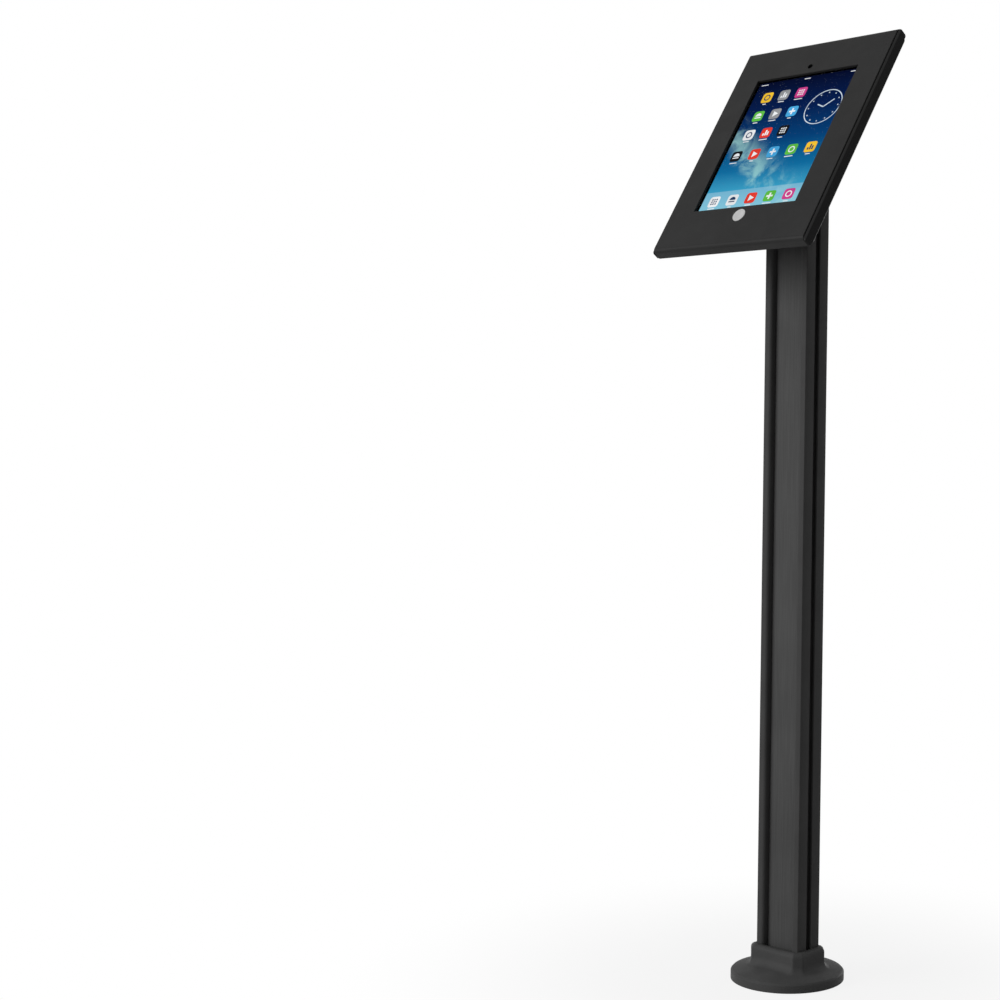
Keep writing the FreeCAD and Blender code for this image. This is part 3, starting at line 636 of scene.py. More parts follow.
class FinishLibrary:
    """All finishes of the mount, as materials."""

    SOLID = (
        Finish("cover_powder_coat", grey(45), 0.46, Grain.POWDER, 0.55, 0.02, specular=0.05,
               edge_wear_highlight_tone=0.12),
        # Darker copy of the cover's black coat: painted shade on the tray's sides and the hinge
        # pins, with a painted highlight on the fold that faces the front.
        Finish("tray_coat_painted_light", grey(24), 0.46, Grain.POWDER, 0.55, 0.02, specular=0.03,
               front_highlight_colour=grey(72)),
        Finish("post_powder_coat", grey(68), 0.5, Grain.POWDER, 0.45, 0.016, specular=0.03),
        # The strip's lighter edges are mostly painted highlight lines.
        Finish("strip_satin", grey(76), 0.5, Grain.BRUSHED, 1.4, 0.012, specular=0.04,
               tone_range=0.16, edge_mm=1.6, edge_wear_highlight_tone=0.5),
        Finish("foot_moulded", grey(74), 0.55, Grain.MOULDED, 0.6, 0.02, specular=0.04),
        Finish("zinc_plate", (0.52, 0.53, 0.54), 0.32, Grain.BRUSHED, 0.25, 0.006, metallic=1.0),
        Finish("black_oxide", grey(46), 0.38, Grain.BLASTED, 0.2, 0.006, metallic=0.6),
        Finish("polished_chrome", (0.62, 0.63, 0.64), 0.16, Grain.BRUSHED, 0.15, 0.002,
               metallic=1.0),
        Finish("button_satin", grey(198), 0.36, Grain.MOULDED, 0.3, 0.006, specular=0.3,
               tone_range=0.04, edge_wear_highlight_tone=0.1),
        Finish("black_rubber", grey(34), 0.72, Grain.MOULDED, 0.5, 0.03, specular=0.3, dust=0.08),
        Finish("closed_cell_foam", grey(38), 0.9, Grain.FOAM, 0.8, 0.12, specular=0.15, dust=0.08),
        Finish("blasted_aluminium", (0.56, 0.57, 0.58), 0.38, Grain.BLASTED, 0.12, 0.004,
               metallic=1.0),
        Finish("black_border", grey(10), 0.3, Grain.BLASTED, 0.2, 0.001, specular=0.05, dust=0.0),
        Finish("camera_lens", grey(8), 0.08, Grain.BLASTED, 0.3, 0.0005, specular=0.6, coat=0.5,
               dust=0.0),
        Finish("spring_steel", (0.5, 0.5, 0.5), 0.25, Grain.BRUSHED, 0.2, 0.004, metallic=1.0),
    )

    def __init__(self, head: "Head") -> None:
        """Build every material.

        Args:
            head: how the head leans.
        """
        shaders = ShaderGroups()
        self.materials = {finish.name: finish.material(shaders)
                          for finish in (*self.SOLID, ClearGlass())}
        for lit in (LitPicture(), LitTile()):
            self.materials[lit.name] = lit.material(head)

    def __getitem__(self, name: str) -> bpy.types.Material:
        """Material of a finish, by its name."""
        return self.materials[name]


# Making and placing pieces

@dataclass(frozen=True)
class Head:
    """Where the leaning head stands, and where the tablet sits in it."""
    tilt_deg: float = 33.0
    forward_mm: float = 42.5
    middle_mm: float = 972.4
    tablet_half: Point2 = (86.0, 122.0)
    tablet_rise: float = 2.7

    def origin(self) -> Point3:
        """World place of the middle of the head's face, in metres."""
        return 0.0, -self.forward_mm * MM, self.middle_mm * MM

    def matrix(self) -> Matrix:
        """World matrix of a mesh that is drawn upright in millimetres."""
        lean = Matrix.Rotation(-math.radians(self.tilt_deg), 4, "X")
        return Matrix.Translation(self.origin()) @ lean @ Matrix.Scale(MM, 4)

    def upright_place(self, graph: Graph) -> bpy.types.NodeSocket:
        """Add nodes that give the upright place on the head, in millimetres.

        Args:
            graph: the material's graph.

        Returns:
            The place's socket.
        """
        mapping = graph.add("ShaderNodeMapping", {
            "Vector": graph.object_place(), "Location": self.origin(),
            "Rotation": (-math.radians(self.tilt_deg), 0.0, 0.0), "Scale": (MM, MM, MM),
        }, vector_type="TEXTURE")
        return mapping.outputs["Vector"]


def dress(node: str, material: bpy.types.Material) -> None:
    """Give a CAD node one material.

    Args:
        node: the node's name.
        material: its material.
    """
    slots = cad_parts[node].data.materials
    slots.clear()
    slots.append(material)
    log.info("dressed %s in %s", node, material.name)


def place_piece(name: str, mesh: bpy.types.Mesh, matrix: Matrix, body: str,
                replaced: tuple[str, ...] = ()) -> None:
    """Make a piece of a mesh and hang it on its body.

    Args:
        name: the piece's name.
        mesh: its mesh, in millimetres.
        matrix: where it goes, in metres.
        body: the CAD body that carries it.
        replaced: the CAD nodes that it stands for.
    """
    mesh.name = name
    mesh.transform(matrix)
    mesh.update()
    piece = bpy.data.objects.new(name, mesh)
    bpy.context.scene.collection.objects.link(piece)
    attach(piece, body)
    if replaced:
        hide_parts(*replaced)
    log.info("made %s: %d faces", name, len(mesh.polygons))


def grown(base: bpy.types.Mesh, tree: bpy.types.NodeTree,
          values: dict[str, object]) -> bpy.types.Mesh:
    """Run a Geometry Nodes tree on a mesh and keep the plain result.

    Args:
        base: the mesh that the tree starts from.
        tree: the tree.
        values: value of each named input.

    Returns:
        The finished mesh.
    """
    holder = bpy.data.objects.new("grown", base)
    bpy.context.scene.collection.objects.link(holder)
    modifier = holder.modifiers.new("grown", "NODES")
    modifier.node_group = tree
    identifiers = {item.name: item.identifier for item in tree.interface.items_tree
                   if item.in_out == "INPUT"}
    for label, value in values.items():
        modifier[identifiers[label]] = value
    graph = bpy.context.evaluated_depsgraph_get()
    mesh = bpy.data.meshes.new_from_object(holder.evaluated_get(graph))
    holder.modifiers.clear()
    bpy.data.objects.remove(holder)
    return mesh


def loops_mesh(loops: list[Ring]) -> bpy.types.Mesh:
    """Make a mesh of closed rings of edges on the XY plane.

    Args:
        loops: the rings.

    Returns:
        The mesh, without faces.
    """
    mesh = bpy.data.meshes.new("loops")
    points = [(x, y, 0.0) for loop in loops for x, y in loop]
    edges = []
    start = 0
    for loop in loops:
        count = len(loop)
        edges += [(start + i, start + (i + 1) % count) for i in range(count)]
        start += count
    mesh.from_pydata(points, edges, [])
    return mesh


def points_mesh(places: list[Point3]) -> bpy.types.Mesh:
    """Make a mesh of loose points.

    Args:
        places: the points.

    Returns:
        The mesh.
    """
    mesh = bpy.data.meshes.new("points")
    mesh.from_pydata(places, [], [])
    return mesh


def colour_points(mesh: bpy.types.Mesh, colours: list[Colour]) -> None:
    """Write the tile colour of each point of a mesh.

    Args:
        mesh: the mesh.
        colours: a colour for each point, in order.
    """
    marks = mesh.attributes.new(TILE_COLOUR, "FLOAT_COLOR", "POINT")
    for mark, colour in zip(marks.data, colours):
        mark.color = (*colour, 1.0)


def rounded(corners: list[Point3], steps: int = 8) -> Ring:
    """Ring through corners, each rounded with its own radius.

    Args:
        corners: x, y and radius of each corner, in order.
        steps: straight runs in each round.

    Returns:
        The ring's points.
    """
    ring: Ring = []
    count = len(corners)
    for i, (x, y, radius) in enumerate(corners):
        if radius <= 0:
            ring.append((x, y))
            continue
        here = Vector((x, y))
        before = (Vector(corners[i - 1][:2]) - here).normalized()
        after = (Vector(corners[(i + 1) % count][:2]) - here).normalized()
        half_angle = before.angle(after) / 2
        centre = here + (before + after).normalized() * (radius / math.sin(half_angle))
        reach = radius / math.tan(half_angle)
        first = here + before * reach - centre
        last = here + after * reach - centre
        sweep = first.angle_signed(last)
        for step in range(steps + 1):
            spoke = Matrix.Rotation(-sweep * step / steps, 2) @ first
            ring.append((centre.x + spoke.x, centre.y + spoke.y))
    return ring


def circle(x: float, y: float, radius: float, steps: int = 24) -> Ring:
    """Ring of points round a centre."""
    turns = [2 * math.pi * i / steps for i in range(steps)]
    return [(x + radius * math.cos(turn), y + radius * math.sin(turn)) for turn in turns]


def rectangle(left: float, low: float, right: float, high: float) -> Ring:
    """Ring of an upright rectangle."""
    return [(left, low), (right, low), (right, high), (left, high)]


def mirrored(right: list[Point3]) -> list[Point3]:
    """Whole ring from the corners of its x > 0 side, listed from axis to axis."""
    return right + [(-x, y, radius) for x, y, radius in reversed(right)]


# Geometry Nodes trees

@dataclass(frozen=True)
class Screw:
    """Sizes of a socket screw, its head towards +z and its shank down from 0.

    The head goes straight up to the rim height and then narrows or widens to the crown.
    """
    head_radius: float
    rim_height: float
    crown_radius: float
    head_height: float
    shank_radius: float
    shank_length: float
    socket_width: float
    socket_depth: float

    def values(self) -> dict[str, float]:
        """Sizes by the labels of the tree's inputs."""
        return {input_label(name): size for name, size in asdict(self).items()}


class GrowthTrees:
    """The Geometry Nodes trees, each built once."""
    SCREW_SIDES = 40
    SOCKET_SIDES = 6
    RIB_SIDES = 12
    RIB_TAPER = 0.8
    BLOCK_CORNER_STEPS = 5
    TILE_CORNER_STEPS = 7

    def __init__(self) -> None:
        """Build every tree."""
        self.section = self._section()
        self.screws = self._screws()
        self.blocks = self._blocks()
        self.tiles = self._tiles()

    @staticmethod
    def _start(name: str, sizes: list[str], counts: tuple[str, ...] = ()
               ) -> tuple[Graph, bpy.types.NodeOutputs, bpy.types.Node]:
        """Start a tree that takes a geometry, sizes, whole numbers and a finish.

        Args:
            name: the tree's name.
            sizes: labels of its sizes.
            counts: labels of its whole numbers.

        Returns:
            The graph, the sockets of what it is given, and its output node.
        """
        inputs = [("Geometry", "Geometry"), *((size, "Float") for size in sizes),
                  *((count, "Int") for count in counts), ("Finish", "Material")]
        graph, given, result = new_tree(name, "GeometryNodeTree", inputs,
                                        [("Geometry", "Geometry")])
        return graph, given.outputs, result

    @staticmethod
    def _end(graph: Graph, result: bpy.types.Node, shape: object,
             finish: object) -> bpy.types.NodeTree:
        """Merge, shade and dress a shape at the end of a tree.

        Args:
            graph: the tree's graph.
            result: its output node.
            shape: the shape.
            finish: the material's socket.

        Returns:
            The finished tree.
        """
        merged = graph.add("GeometryNodeMergeByDistance",
                           {"Geometry": shape, "Distance": MERGE_MM})
        smooth = graph.add("GeometryNodeSetShadeSmooth",
                           {"Geometry": merged, "Shade Smooth": True})
        angle = graph.add("GeometryNodeInputMeshEdgeAngle").outputs["Unsigned Angle"]
        sharp = graph.add("FunctionNodeCompare",
                          {"A": angle, "B": math.radians(SMOOTH_BELOW_DEG)},
                          data_type="FLOAT", operation="GREATER_THAN")
        edges = graph.add("GeometryNodeSetShadeSmooth",
                          {"Geometry": smooth, "Selection": sharp, "Shade Smooth": False},
                          domain="EDGE")
        dressed = graph.add("GeometryNodeSetMaterial", {"Geometry": edges, "Material": finish})
        graph.feed(result, {"Geometry": dressed})
        return graph.tree

    @staticmethod
    def _slab(graph: Graph, outline: object,
              thickness: object) -> tuple[bpy.types.Node, bpy.types.Node]:
        """Fill an outline and pull it up along z.

        Args:
            graph: the tree's graph.
            outline: the outline's curves.
            thickness: how far it is pulled.

        Returns:
            The top with the sides, and the underside.
        """
        filled = graph.add("GeometryNodeFillCurve", {"Curve": outline})
        pulled = graph.add("GeometryNodeExtrudeMesh",
                           {"Mesh": filled, "Offset": graph.vector(Z=thickness),
                            "Offset Scale": 1.0, "Individual": False}, mode="FACES")
        return pulled, graph.add("GeometryNodeFlipFaces", {"Mesh": filled})

    @staticmethod
    def _soft_rectangle(graph: Graph, width: object, height: object, corner: object,
                        steps: int) -> bpy.types.Node:
        """Draw a rectangle with rounded corners.

        Args:
            graph: the tree's graph.
            width: its size along x.
            height: its size along y.
            corner: radius of its corners.
            steps: points in each corner.

        Returns:
            The node that gives its curve.
        """
        outline = graph.add("GeometryNodeCurvePrimitiveQuadrilateral",
                            {"Width": width, "Height": height})
        return graph.add("GeometryNodeFilletCurve",
                         {"Curve": outline, "Radius": corner, "Count": steps}, mode="POLY")

    @staticmethod
    def _set_down(graph: Graph, points: object, shape: object, **more: object) -> bpy.types.Node:
        """Set a shape on each point, as real geometry.

        Args:
            graph: the tree's graph.
            points: the points.
            shape: the shape.
            more: other inputs of the instances, by name.

        Returns:
            The node that gives them all.
        """
        instances = graph.add("GeometryNodeInstanceOnPoints",
                              {"Points": points, "Instance": shape, **more})
        return graph.add("GeometryNodeRealizeInstances", {"Geometry": instances})

    @staticmethod
    def _upright(graph: Graph, shape: object) -> bpy.types.Node:
        """Turn a shape that lies on the XY plane to face -y."""
        return graph.add("GeometryNodeTransform",
                         {"Geometry": shape, "Rotation": (QUARTER_TURN, 0.0, 0.0)})

    def _section(self) -> bpy.types.NodeTree:
        """Build the tree that extrudes a filled section along z.

        Returns:
            The tree, which takes rings of edges and a length.
        """
        graph, size, result = self._start("extruded_section", ["Length"])
        curve = graph.add("GeometryNodeMeshToCurve", {0: size["Geometry"]})
        shape = graph.join(*self._slab(graph, curve, size["Length"]))
        return self._end(graph, result, shape, size["Finish"])

    def _screws(self) -> bpy.types.NodeTree:
        """Build the tree that sets socket screws on points, each turned its own way.

        Returns:
            The tree, which takes points and the sizes of a Screw.
        """
        graph, size, result = self._start(
            "socket_screws", [input_label(item.name) for item in fields(Screw)], ("Seed",))

        def cone(bottom: object, top: object, low: object, height: object) -> bpy.types.Node:
            """Open side of a cone between two radii."""
            side = graph.add("GeometryNodeMeshCone",
                             {"Vertices": self.SCREW_SIDES, "Radius Top": top,
                              "Radius Bottom": bottom, "Depth": height}, fill_type="NONE")
            return graph.lifted(side, low)

        def disc(radius: object, height: object) -> bpy.types.Node:
            """Filled disc that faces up."""
            face = graph.add("GeometryNodeMeshCircle",
                             {"Vertices": self.SCREW_SIDES, "Radius": radius}, fill_type="NGON")
            return graph.lifted(face, height)

        head, crown, shank = size["Head Radius"], size["Crown Radius"], size["Shank Radius"]
        rim, top = size["Rim Height"], size["Head Height"]
        tip = graph.times(size["Shank Length"], -1.0)
        shell = graph.join(
            cone(head, head, 0.0, rim),
            cone(head, crown, rim, graph.minus(top, rim)),
            cone(shank, shank, tip, size["Shank Length"]),
            cone(shank, head, 0.0, 0.0),
            disc(crown, top),
            graph.add("GeometryNodeFlipFaces", {"Mesh": disc(shank, tip)}))
        body = graph.add("GeometryNodeMergeByDistance", {"Geometry": shell, "Distance": MERGE_MM})

        hexagon = graph.add("GeometryNodeMeshCylinder",
                            {"Vertices": self.SOCKET_SIDES,
                             "Radius": graph.over(size["Socket Width"], math.sqrt(3.0)),
                             "Depth": graph.times(size["Socket Depth"], 2.0)})
        screw = graph.add("GeometryNodeMeshBoolean",
                          {"Mesh 1": body, "Mesh 2": graph.lifted(hexagon, top)},
                          operation="DIFFERENCE")
        turn = graph.add("FunctionNodeRandomValue",
                         {"Min": (0.0, 0.0, 0.0), "Max": (0.0, 0.0, 2 * math.pi),
                          "Seed": size["Seed"]}, data_type="FLOAT_VECTOR")
        screws = self._set_down(graph, size["Geometry"], screw, Rotation=turn)
        return self._end(graph, result, screws, size["Finish"])

    def _blocks(self) -> bpy.types.NodeTree:
        """Build the tree that sets ribbed rubber blocks on points, their ribs towards -y.

        Returns:
            The tree, which takes points and the sizes of a block.
        """
        graph, size, result = self._start(
            "ribbed_blocks", ["Length", "Width", "Depth", "Corner", "Rib Depth"], ("Ribs",))
        rib_depth = size["Rib Depth"]
        low_depth = graph.minus(size["Depth"], rib_depth)
        outline = self._soft_rectangle(graph, size["Length"], size["Width"], size["Corner"],
                                       self.BLOCK_CORNER_STEPS)
        slab = self._slab(graph, outline, low_depth)

        pitch = graph.over(size["Length"], graph.plus(size["Ribs"], 1.0))
        first = graph.minus(pitch, graph.over(size["Length"], 2.0))
        row = graph.add("GeometryNodeMeshLine",
                        {"Count": size["Ribs"], "Offset": graph.vector(X=pitch),
                         "Start Location": graph.vector(X=first, Z=low_depth)}, mode="OFFSET")
        bar = graph.add("GeometryNodeMeshCone",
                        {"Vertices": self.RIB_SIDES, "Radius Bottom": rib_depth, "Depth": 1.0,
                         "Radius Top": graph.times(rib_depth, self.RIB_TAPER)})
        rib_length = graph.minus(size["Width"], size["Corner"])
        stretch = graph.vector(X=1.0, Y=graph.over(rib_length, graph.times(rib_depth, 2.0)),
                               Z=rib_depth)
        ribs = graph.add("GeometryNodeInstanceOnPoints",
                         {"Points": row, "Instance": bar, "Scale": stretch})
        block = self._upright(graph, graph.join(*slab, ribs))
        blocks = self._set_down(graph, size["Geometry"], block)
        return self._end(graph, result, blocks, size["Finish"])

    def _tiles(self) -> bpy.types.NodeTree:
        """Build the tree that sets thin rounded tiles on points, facing -y.

        Returns:
            The tree, which takes points and the sizes of a tile.
        """
        graph, size, result = self._start("rounded_tiles",
                                          ["Width", "Height", "Corner", "Thickness"])
        outline = self._soft_rectangle(graph, size["Width"], size["Height"], size["Corner"],
                                       self.TILE_CORNER_STEPS)
        tile = self._upright(graph, graph.join(*self._slab(graph, outline, size["Thickness"])))
        tiles = self._set_down(graph, size["Geometry"], tile)
        return self._end(graph, result, tiles, size["Finish"])


# Sub-assemblies

@dataclass(frozen=True)
class Kit:
    """What the sub-assemblies are made with."""
    head: Head
    trees: GrowthTrees
    finishes: FinishLibrary

    def dress_nodes(self, finishes: dict[str, str]) -> None:
        """Give CAD nodes their finishes, by name."""
        for node, finish in finishes.items():
            dress(node, self.finishes[finish])


@dataclass
class Post:
    """Slotted post with its two snap-in strips."""
    width: float = 63.0
    depth: float = 39.0
    bottom: float = 5.0
    length: float = 953.0
    rail_width: float = 10.2
    web: float = 3.0
    web_fillet: float = 0.5
    bead_outer_round: float = 1.2
    bead_inner_round: float = 4.0
    slot_width: float = 8.0
    slot_lip: float = 2.2
    slot_lip_round: float = 0.4
    slot_cavity: float = 14.0
    slot_floor_wall: float = 2.5
    slot_floor_fillet: float = 0.8
    port_radius: float = 2.75
    port_inset: Point2 = (5.1, 5.9)
    groove_depth: float = 0.8
    groove_width: float = 1.6
    groove_setback: float = 3.2
    recess: float = 7.85
    strip_thickness: float = 1.8
    strip_round: float = 1.2
    strip_gap: float = 0.15
    leg: float = 1.9
    leg_length: float = 5.2
    leg_round: float = 0.3
    leg_fillet: float = 0.5
    nib: float = 0.6
    nib_gap: float = 0.2

    def section(self) -> list[Ring]:
        """Draw the post's section.

        Returns:
            Its outline and the rings of the four screw ports.
        """
        half_x, front = self.width / 2, -self.depth / 2
        slot, cavity = -self.slot_width / 2, -self.slot_cavity / 2
        channel = half_x - self.rail_width
        groove_front = front + self.recess + self.groove_setback
        groove_back = groove_front + self.groove_width
        groove_x = channel + self.groove_depth
        lip_x = half_x - self.slot_lip
        quarter = [
            (channel, -self.web / 2, self.web_fillet),
            (channel, groove_back, 0.0), (groove_x, groove_back, 0.0),
            (groove_x, groove_front, 0.0), (channel, groove_front, 0.0),
            (channel, front, self.bead_inner_round), (half_x, front, self.bead_outer_round),
            (half_x, slot, self.slot_lip_round), (lip_x, slot, 0.0), (lip_x, cavity, 0.0),
            (channel + self.slot_floor_wall, cavity, self.slot_floor_fillet),
        ]
        right = quarter + [(x, -y, radius) for x, y, radius in reversed(quarter)]
        port_x = half_x - self.port_inset[0]
        port_y = self.depth / 2 - self.port_inset[1]
        ports = [circle(x, y, self.port_radius)
                 for x in (-port_x, port_x) for y in (-port_y, port_y)]
        return [rounded(mirrored(right))] + ports

    def strip_section(self, facing: int) -> list[Ring]:
        """Draw a strip's section.

        Args:
            facing: -1 for the front channel, 1 for the rear one.

        Returns:
            The one ring.
        """
        face = -self.depth / 2 + self.recess
        half = self.width / 2 - self.rail_width - self.strip_gap
        under = face + self.strip_thickness
        leg_end = under + self.leg_length
        nib_front = face + self.groove_setback + self.nib_gap
        nib_back = face + self.groove_setback + self.groove_width - self.nib_gap
        nib_x = half + self.nib
        right = [
            (half, face, self.strip_round), (half, nib_front, 0.0), (nib_x, nib_front, 0.0),
            (nib_x, nib_back - self.nib / 2, 0.0), (half, nib_back, 0.0),
            (half, leg_end, self.leg_round), (half - self.leg, leg_end, self.leg_round),
            (half - self.leg, under, self.leg_fillet),
        ]
        return [[(x * -facing, y * -facing) for x, y in rounded(mirrored(right))]]

    def build(self, kit: Kit) -> None:
        """Make the post and its strips.

        Args:
            kit: head, trees and finishes.
        """
        lift = Matrix.Scale(MM, 4) @ Matrix.Translation((0.0, 0.0, self.bottom))
        pieces = (
            ("post_section", self.section(), "post_powder_coat", "black_aluminium",
             "post_extrusion"),
            ("front_strip", self.strip_section(-1), "strip_satin", "strip_plastic",
             "front_panel"),
            ("rear_strip", self.strip_section(1), "strip_satin", "strip_plastic", "rear_panel"),
        )
        for name, rings, finish, slot, node in pieces:
            mesh = grown(loops_mesh(rings), kit.trees.section,
                         {"Length": self.length, "Finish": kit.finishes[finish]})
            place_piece(name, mesh, lift, "stand", (node,))


@dataclass
class Foot:
    """Bolt-down flange and its moulded cover."""
    FINISHES = {
        "base_cover": "foot_moulded",
        "floor_flange": "cover_powder_coat",
    }

    def build(self, kit: Kit) -> None:
        """Dress the foot's nodes."""
        kit.dress_nodes(self.FINISHES)


@dataclass
class Fasteners:
    """Socket screws of the head's bracket and of both ends of the post."""
    port: Point2 = (26.4, 13.6)
    base_top: float = 962.0
    tray_spacing: float = 56.0
    tray_heights: tuple[float, ...] = (20.0, 80.0)
    bracket_back: float = 20.0
    cap_screw: Screw = Screw(
        head_radius=4.9, rim_height=2.9, crown_radius=4.4, head_height=3.4,
        shank_radius=2.75, shank_length=18.6, socket_width=4.2, socket_depth=1.6)
    sunk_screw: Screw = Screw(
        head_radius=2.75, rim_height=0.01, crown_radius=5.8, head_height=3.05,
        shank_radius=2.75, shank_length=18.95, socket_width=4.2, socket_depth=1.6)
    button_screw: Screw = Screw(
        head_radius=4.6, rim_height=1.1, crown_radius=3.0, head_height=2.8,
        shank_radius=2.5, shank_length=8.1, socket_width=3.0, socket_depth=1.6)
    seed: int = 7

    def build(self, kit: Kit) -> None:
        """Make the three sets of screws.

        Args:
            kit: head, trees and finishes.
        """
        x, y = self.port
        ports = [(a, b, 0.0) for a in (-x, x) for b in (-y, y)]
        holes = [(a * self.tray_spacing / 2, -b, 0.0) for a in (-1, 1) for b in self.tray_heights]
        millimetres = Matrix.Scale(MM, 4)
        on_top = millimetres @ Matrix.Translation((0.0, 0.0, self.base_top))
        sunk = Matrix.Translation((0.0, 0.0, self.sunk_screw.head_height))
        from_below = millimetres @ sunk @ Matrix.Rotation(math.pi, 4, "X")
        heads_back = (Matrix.Translation((0.0, self.bracket_back, 0.0))
                      @ Matrix.Rotation(-QUARTER_TURN, 4, "X"))
        sets = (
            ("post_cap_screws", self.cap_screw, ports, on_top,
             "black_oxide", "black_screw", "post_top_screws"),
            ("foot_screws", self.sunk_screw, ports, from_below,
             "zinc_plate", "steel", "post_bottom_screws"),
            ("bracket_button_screws", self.button_screw, holes, kit.head.matrix() @ heads_back,
             "black_oxide", "black_screw", "bracket_screws"),
        )
        for name, screw, places, matrix, finish, slot, node in sets:
            mesh = grown(points_mesh(places), kit.trees.screws,
                         {**screw.values(), "Seed": self.seed, "Finish": kit.finishes[finish]})
            place_piece(name, mesh, matrix, "stand", (node,))


@dataclass
class Enclosure:
    """Folded tray, front cover, lock, bracket and the rubber blocks round the tablet."""
    block_gap: float = 0.3
    block_size: Point3 = (40.0, 9.0, 10.5)
    block_corner: float = 1.5
    block_back: float = 15.5
    rib_depth: float = 0.8
    ribs: int = 9
    side_spread: float = 70.0
    top_spread: float = 55.0
    bottom_spread: float = 50.0

    FINISHES = {
        "front_cover": "cover_powder_coat",
        "rear_tray": "cover_powder_coat",
        # The tray's sides and the hinge pins take the darker copy of the cover's coat: painted
        # shade, with a painted highlight on the front fold.
        "tray_sides": "tray_coat_painted_light",
        "bracket_base": "cover_powder_coat",
        "bracket_cheeks": "cover_powder_coat",
        "bracket_plate": "cover_powder_coat",
        "hinge_pins": "tray_coat_painted_light",
        "window_gasket": "closed_cell_foam",
        "rear_pads": "closed_cell_foam",
        "home_button": "button_satin",
        "button_retainer": "black_rubber",
        "button_spring": "spring_steel",
        "cover_catch": "zinc_plate",
        "lock_housing": "polished_chrome",
        "lock_plug": "polished_chrome",
        "lock_nut": "zinc_plate",
        "lock_tongue": "zinc_plate",
        "tongue_screw": "zinc_plate",
        "cable_grommet": "black_rubber",
        "tray_nuts": "zinc_plate",
    }

    def build(self, kit: Kit) -> None:
        """Dress the sheet metal and the lock, and make the ribbed rubber blocks.

        Args:
            kit: head, trees and finishes.
        """
        kit.dress_nodes(self.FINISHES)
        length, width, depth = self.block_size
        half_x, half_z = kit.head.tablet_half
        rise = kit.head.tablet_rise
        side_x = half_x + self.block_gap + width / 2
        top_z = rise + half_z + self.block_gap + width / 2
        bottom_z = rise - half_z - width / 2
        sets = (
            ("side_blocks", [(a * side_x, rise + b) for a in (-1, 1)
                             for b in (-self.side_spread, self.side_spread)],
             True, "edge_blocks_side"),
            ("top_blocks", [(a * self.top_spread, top_z) for a in (-1, 1)],
             False, "edge_blocks_top"),
            ("bottom_blocks", [(a * self.bottom_spread, bottom_z) for a in (-1, 1)],
             False, "edge_blocks_bottom"),
        )
        for name, places, on_end, node in sets:
            turn = Matrix.Rotation(QUARTER_TURN, 4, "Y") if on_end else Matrix.Identity(4)
            points = [turn.inverted() @ Vector((x, self.block_back, z)) for x, z in places]
            mesh = grown(points_mesh([tuple(point) for point in points]), kit.trees.blocks,
                         {"Length": length, "Width": width, "Depth": depth,
                          "Corner": self.block_corner, "Rib Depth": self.rib_depth,
                          "Ribs": self.ribs, "Finish": kit.finishes["black_rubber"]})
            place_piece(name, mesh, kit.head.matrix() @ turn, "stand", (node,))


class Motif(Enum):
    """Plain signs on the display's tiles."""
    RING = 0
    BARS = 1
    DOTS = 2
    HALF = 3
    ARROW = 4
    CROSS = 5


@dataclass(frozen=True)
class Signs:
    """Sizes of the plain signs, each drawn round its middle."""
    reach: float = 4.6
    ring_hole: float = 3.1
    bar_left: float = -4.4
    bar_foot: float = -4.0
    bar_width: float = 2.2
    bar_pitch: float = 3.2
    bar_tops: tuple[float, ...] = (-0.5, 4.2, 1.6)
    dot_pitch: float = 3.2
    dot_radius: float = 1.15
    half_base: Span = (-3.2, -1.6)
    arrow_back: Point2 = (-3.0, 4.4)
    arrow_tip: float = 4.8
    cross_half: float = 1.2
    cross_gap: float = 0.1
    ring_steps: int = 32
    dot_steps: int = 16

    def shapes(self, motif: Motif, x: float, z: float) -> list[list[Ring]]:
        """Draw one sign.

        Args:
            motif: which sign.
            x: its middle.
            z: its middle.

        Returns:
            One list of rings for each closed shape.
        """
        reach = self.reach

        def bar(left: float, low: float, right: float, high: float) -> list[Ring]:
            """Upright rectangle, given from the sign's middle."""
            return [rectangle(x + left, z + low, x + right, z + high)]

        if motif is Motif.RING:
            return [[circle(x, z, radius, self.ring_steps) for radius in (reach, self.ring_hole)]]
        if motif is Motif.BARS:
            lefts = [self.bar_left + self.bar_pitch * i for i in range(len(self.bar_tops))]
            return [bar(left, self.bar_foot, left + self.bar_width, top)
                    for left, top in zip(lefts, self.bar_tops)]
        if motif is Motif.DOTS:
            steps = [self.dot_pitch * i for i in (-1, 0, 1)]
            return [[circle(x + a, z + b, self.dot_radius, self.dot_steps)]
                    for a in steps for b in steps]
        if motif is Motif.HALF:
            dome = circle(x, z, reach, self.ring_steps)[:self.ring_steps // 2 + 1]
            low, high = self.half_base
            return [[dome], bar(-reach, low, reach, high)]
        if motif is Motif.ARROW:
            back, half = self.arrow_back
            return [[[(x + back, z - half), (x + self.arrow_tip, z), (x + back, z + half)]]]
        half = self.cross_half
        arm = half + self.cross_gap
        return [bar(-half, -reach, half, reach), bar(-reach, -half, -arm, half),
                bar(arm, -half, reach, half)]


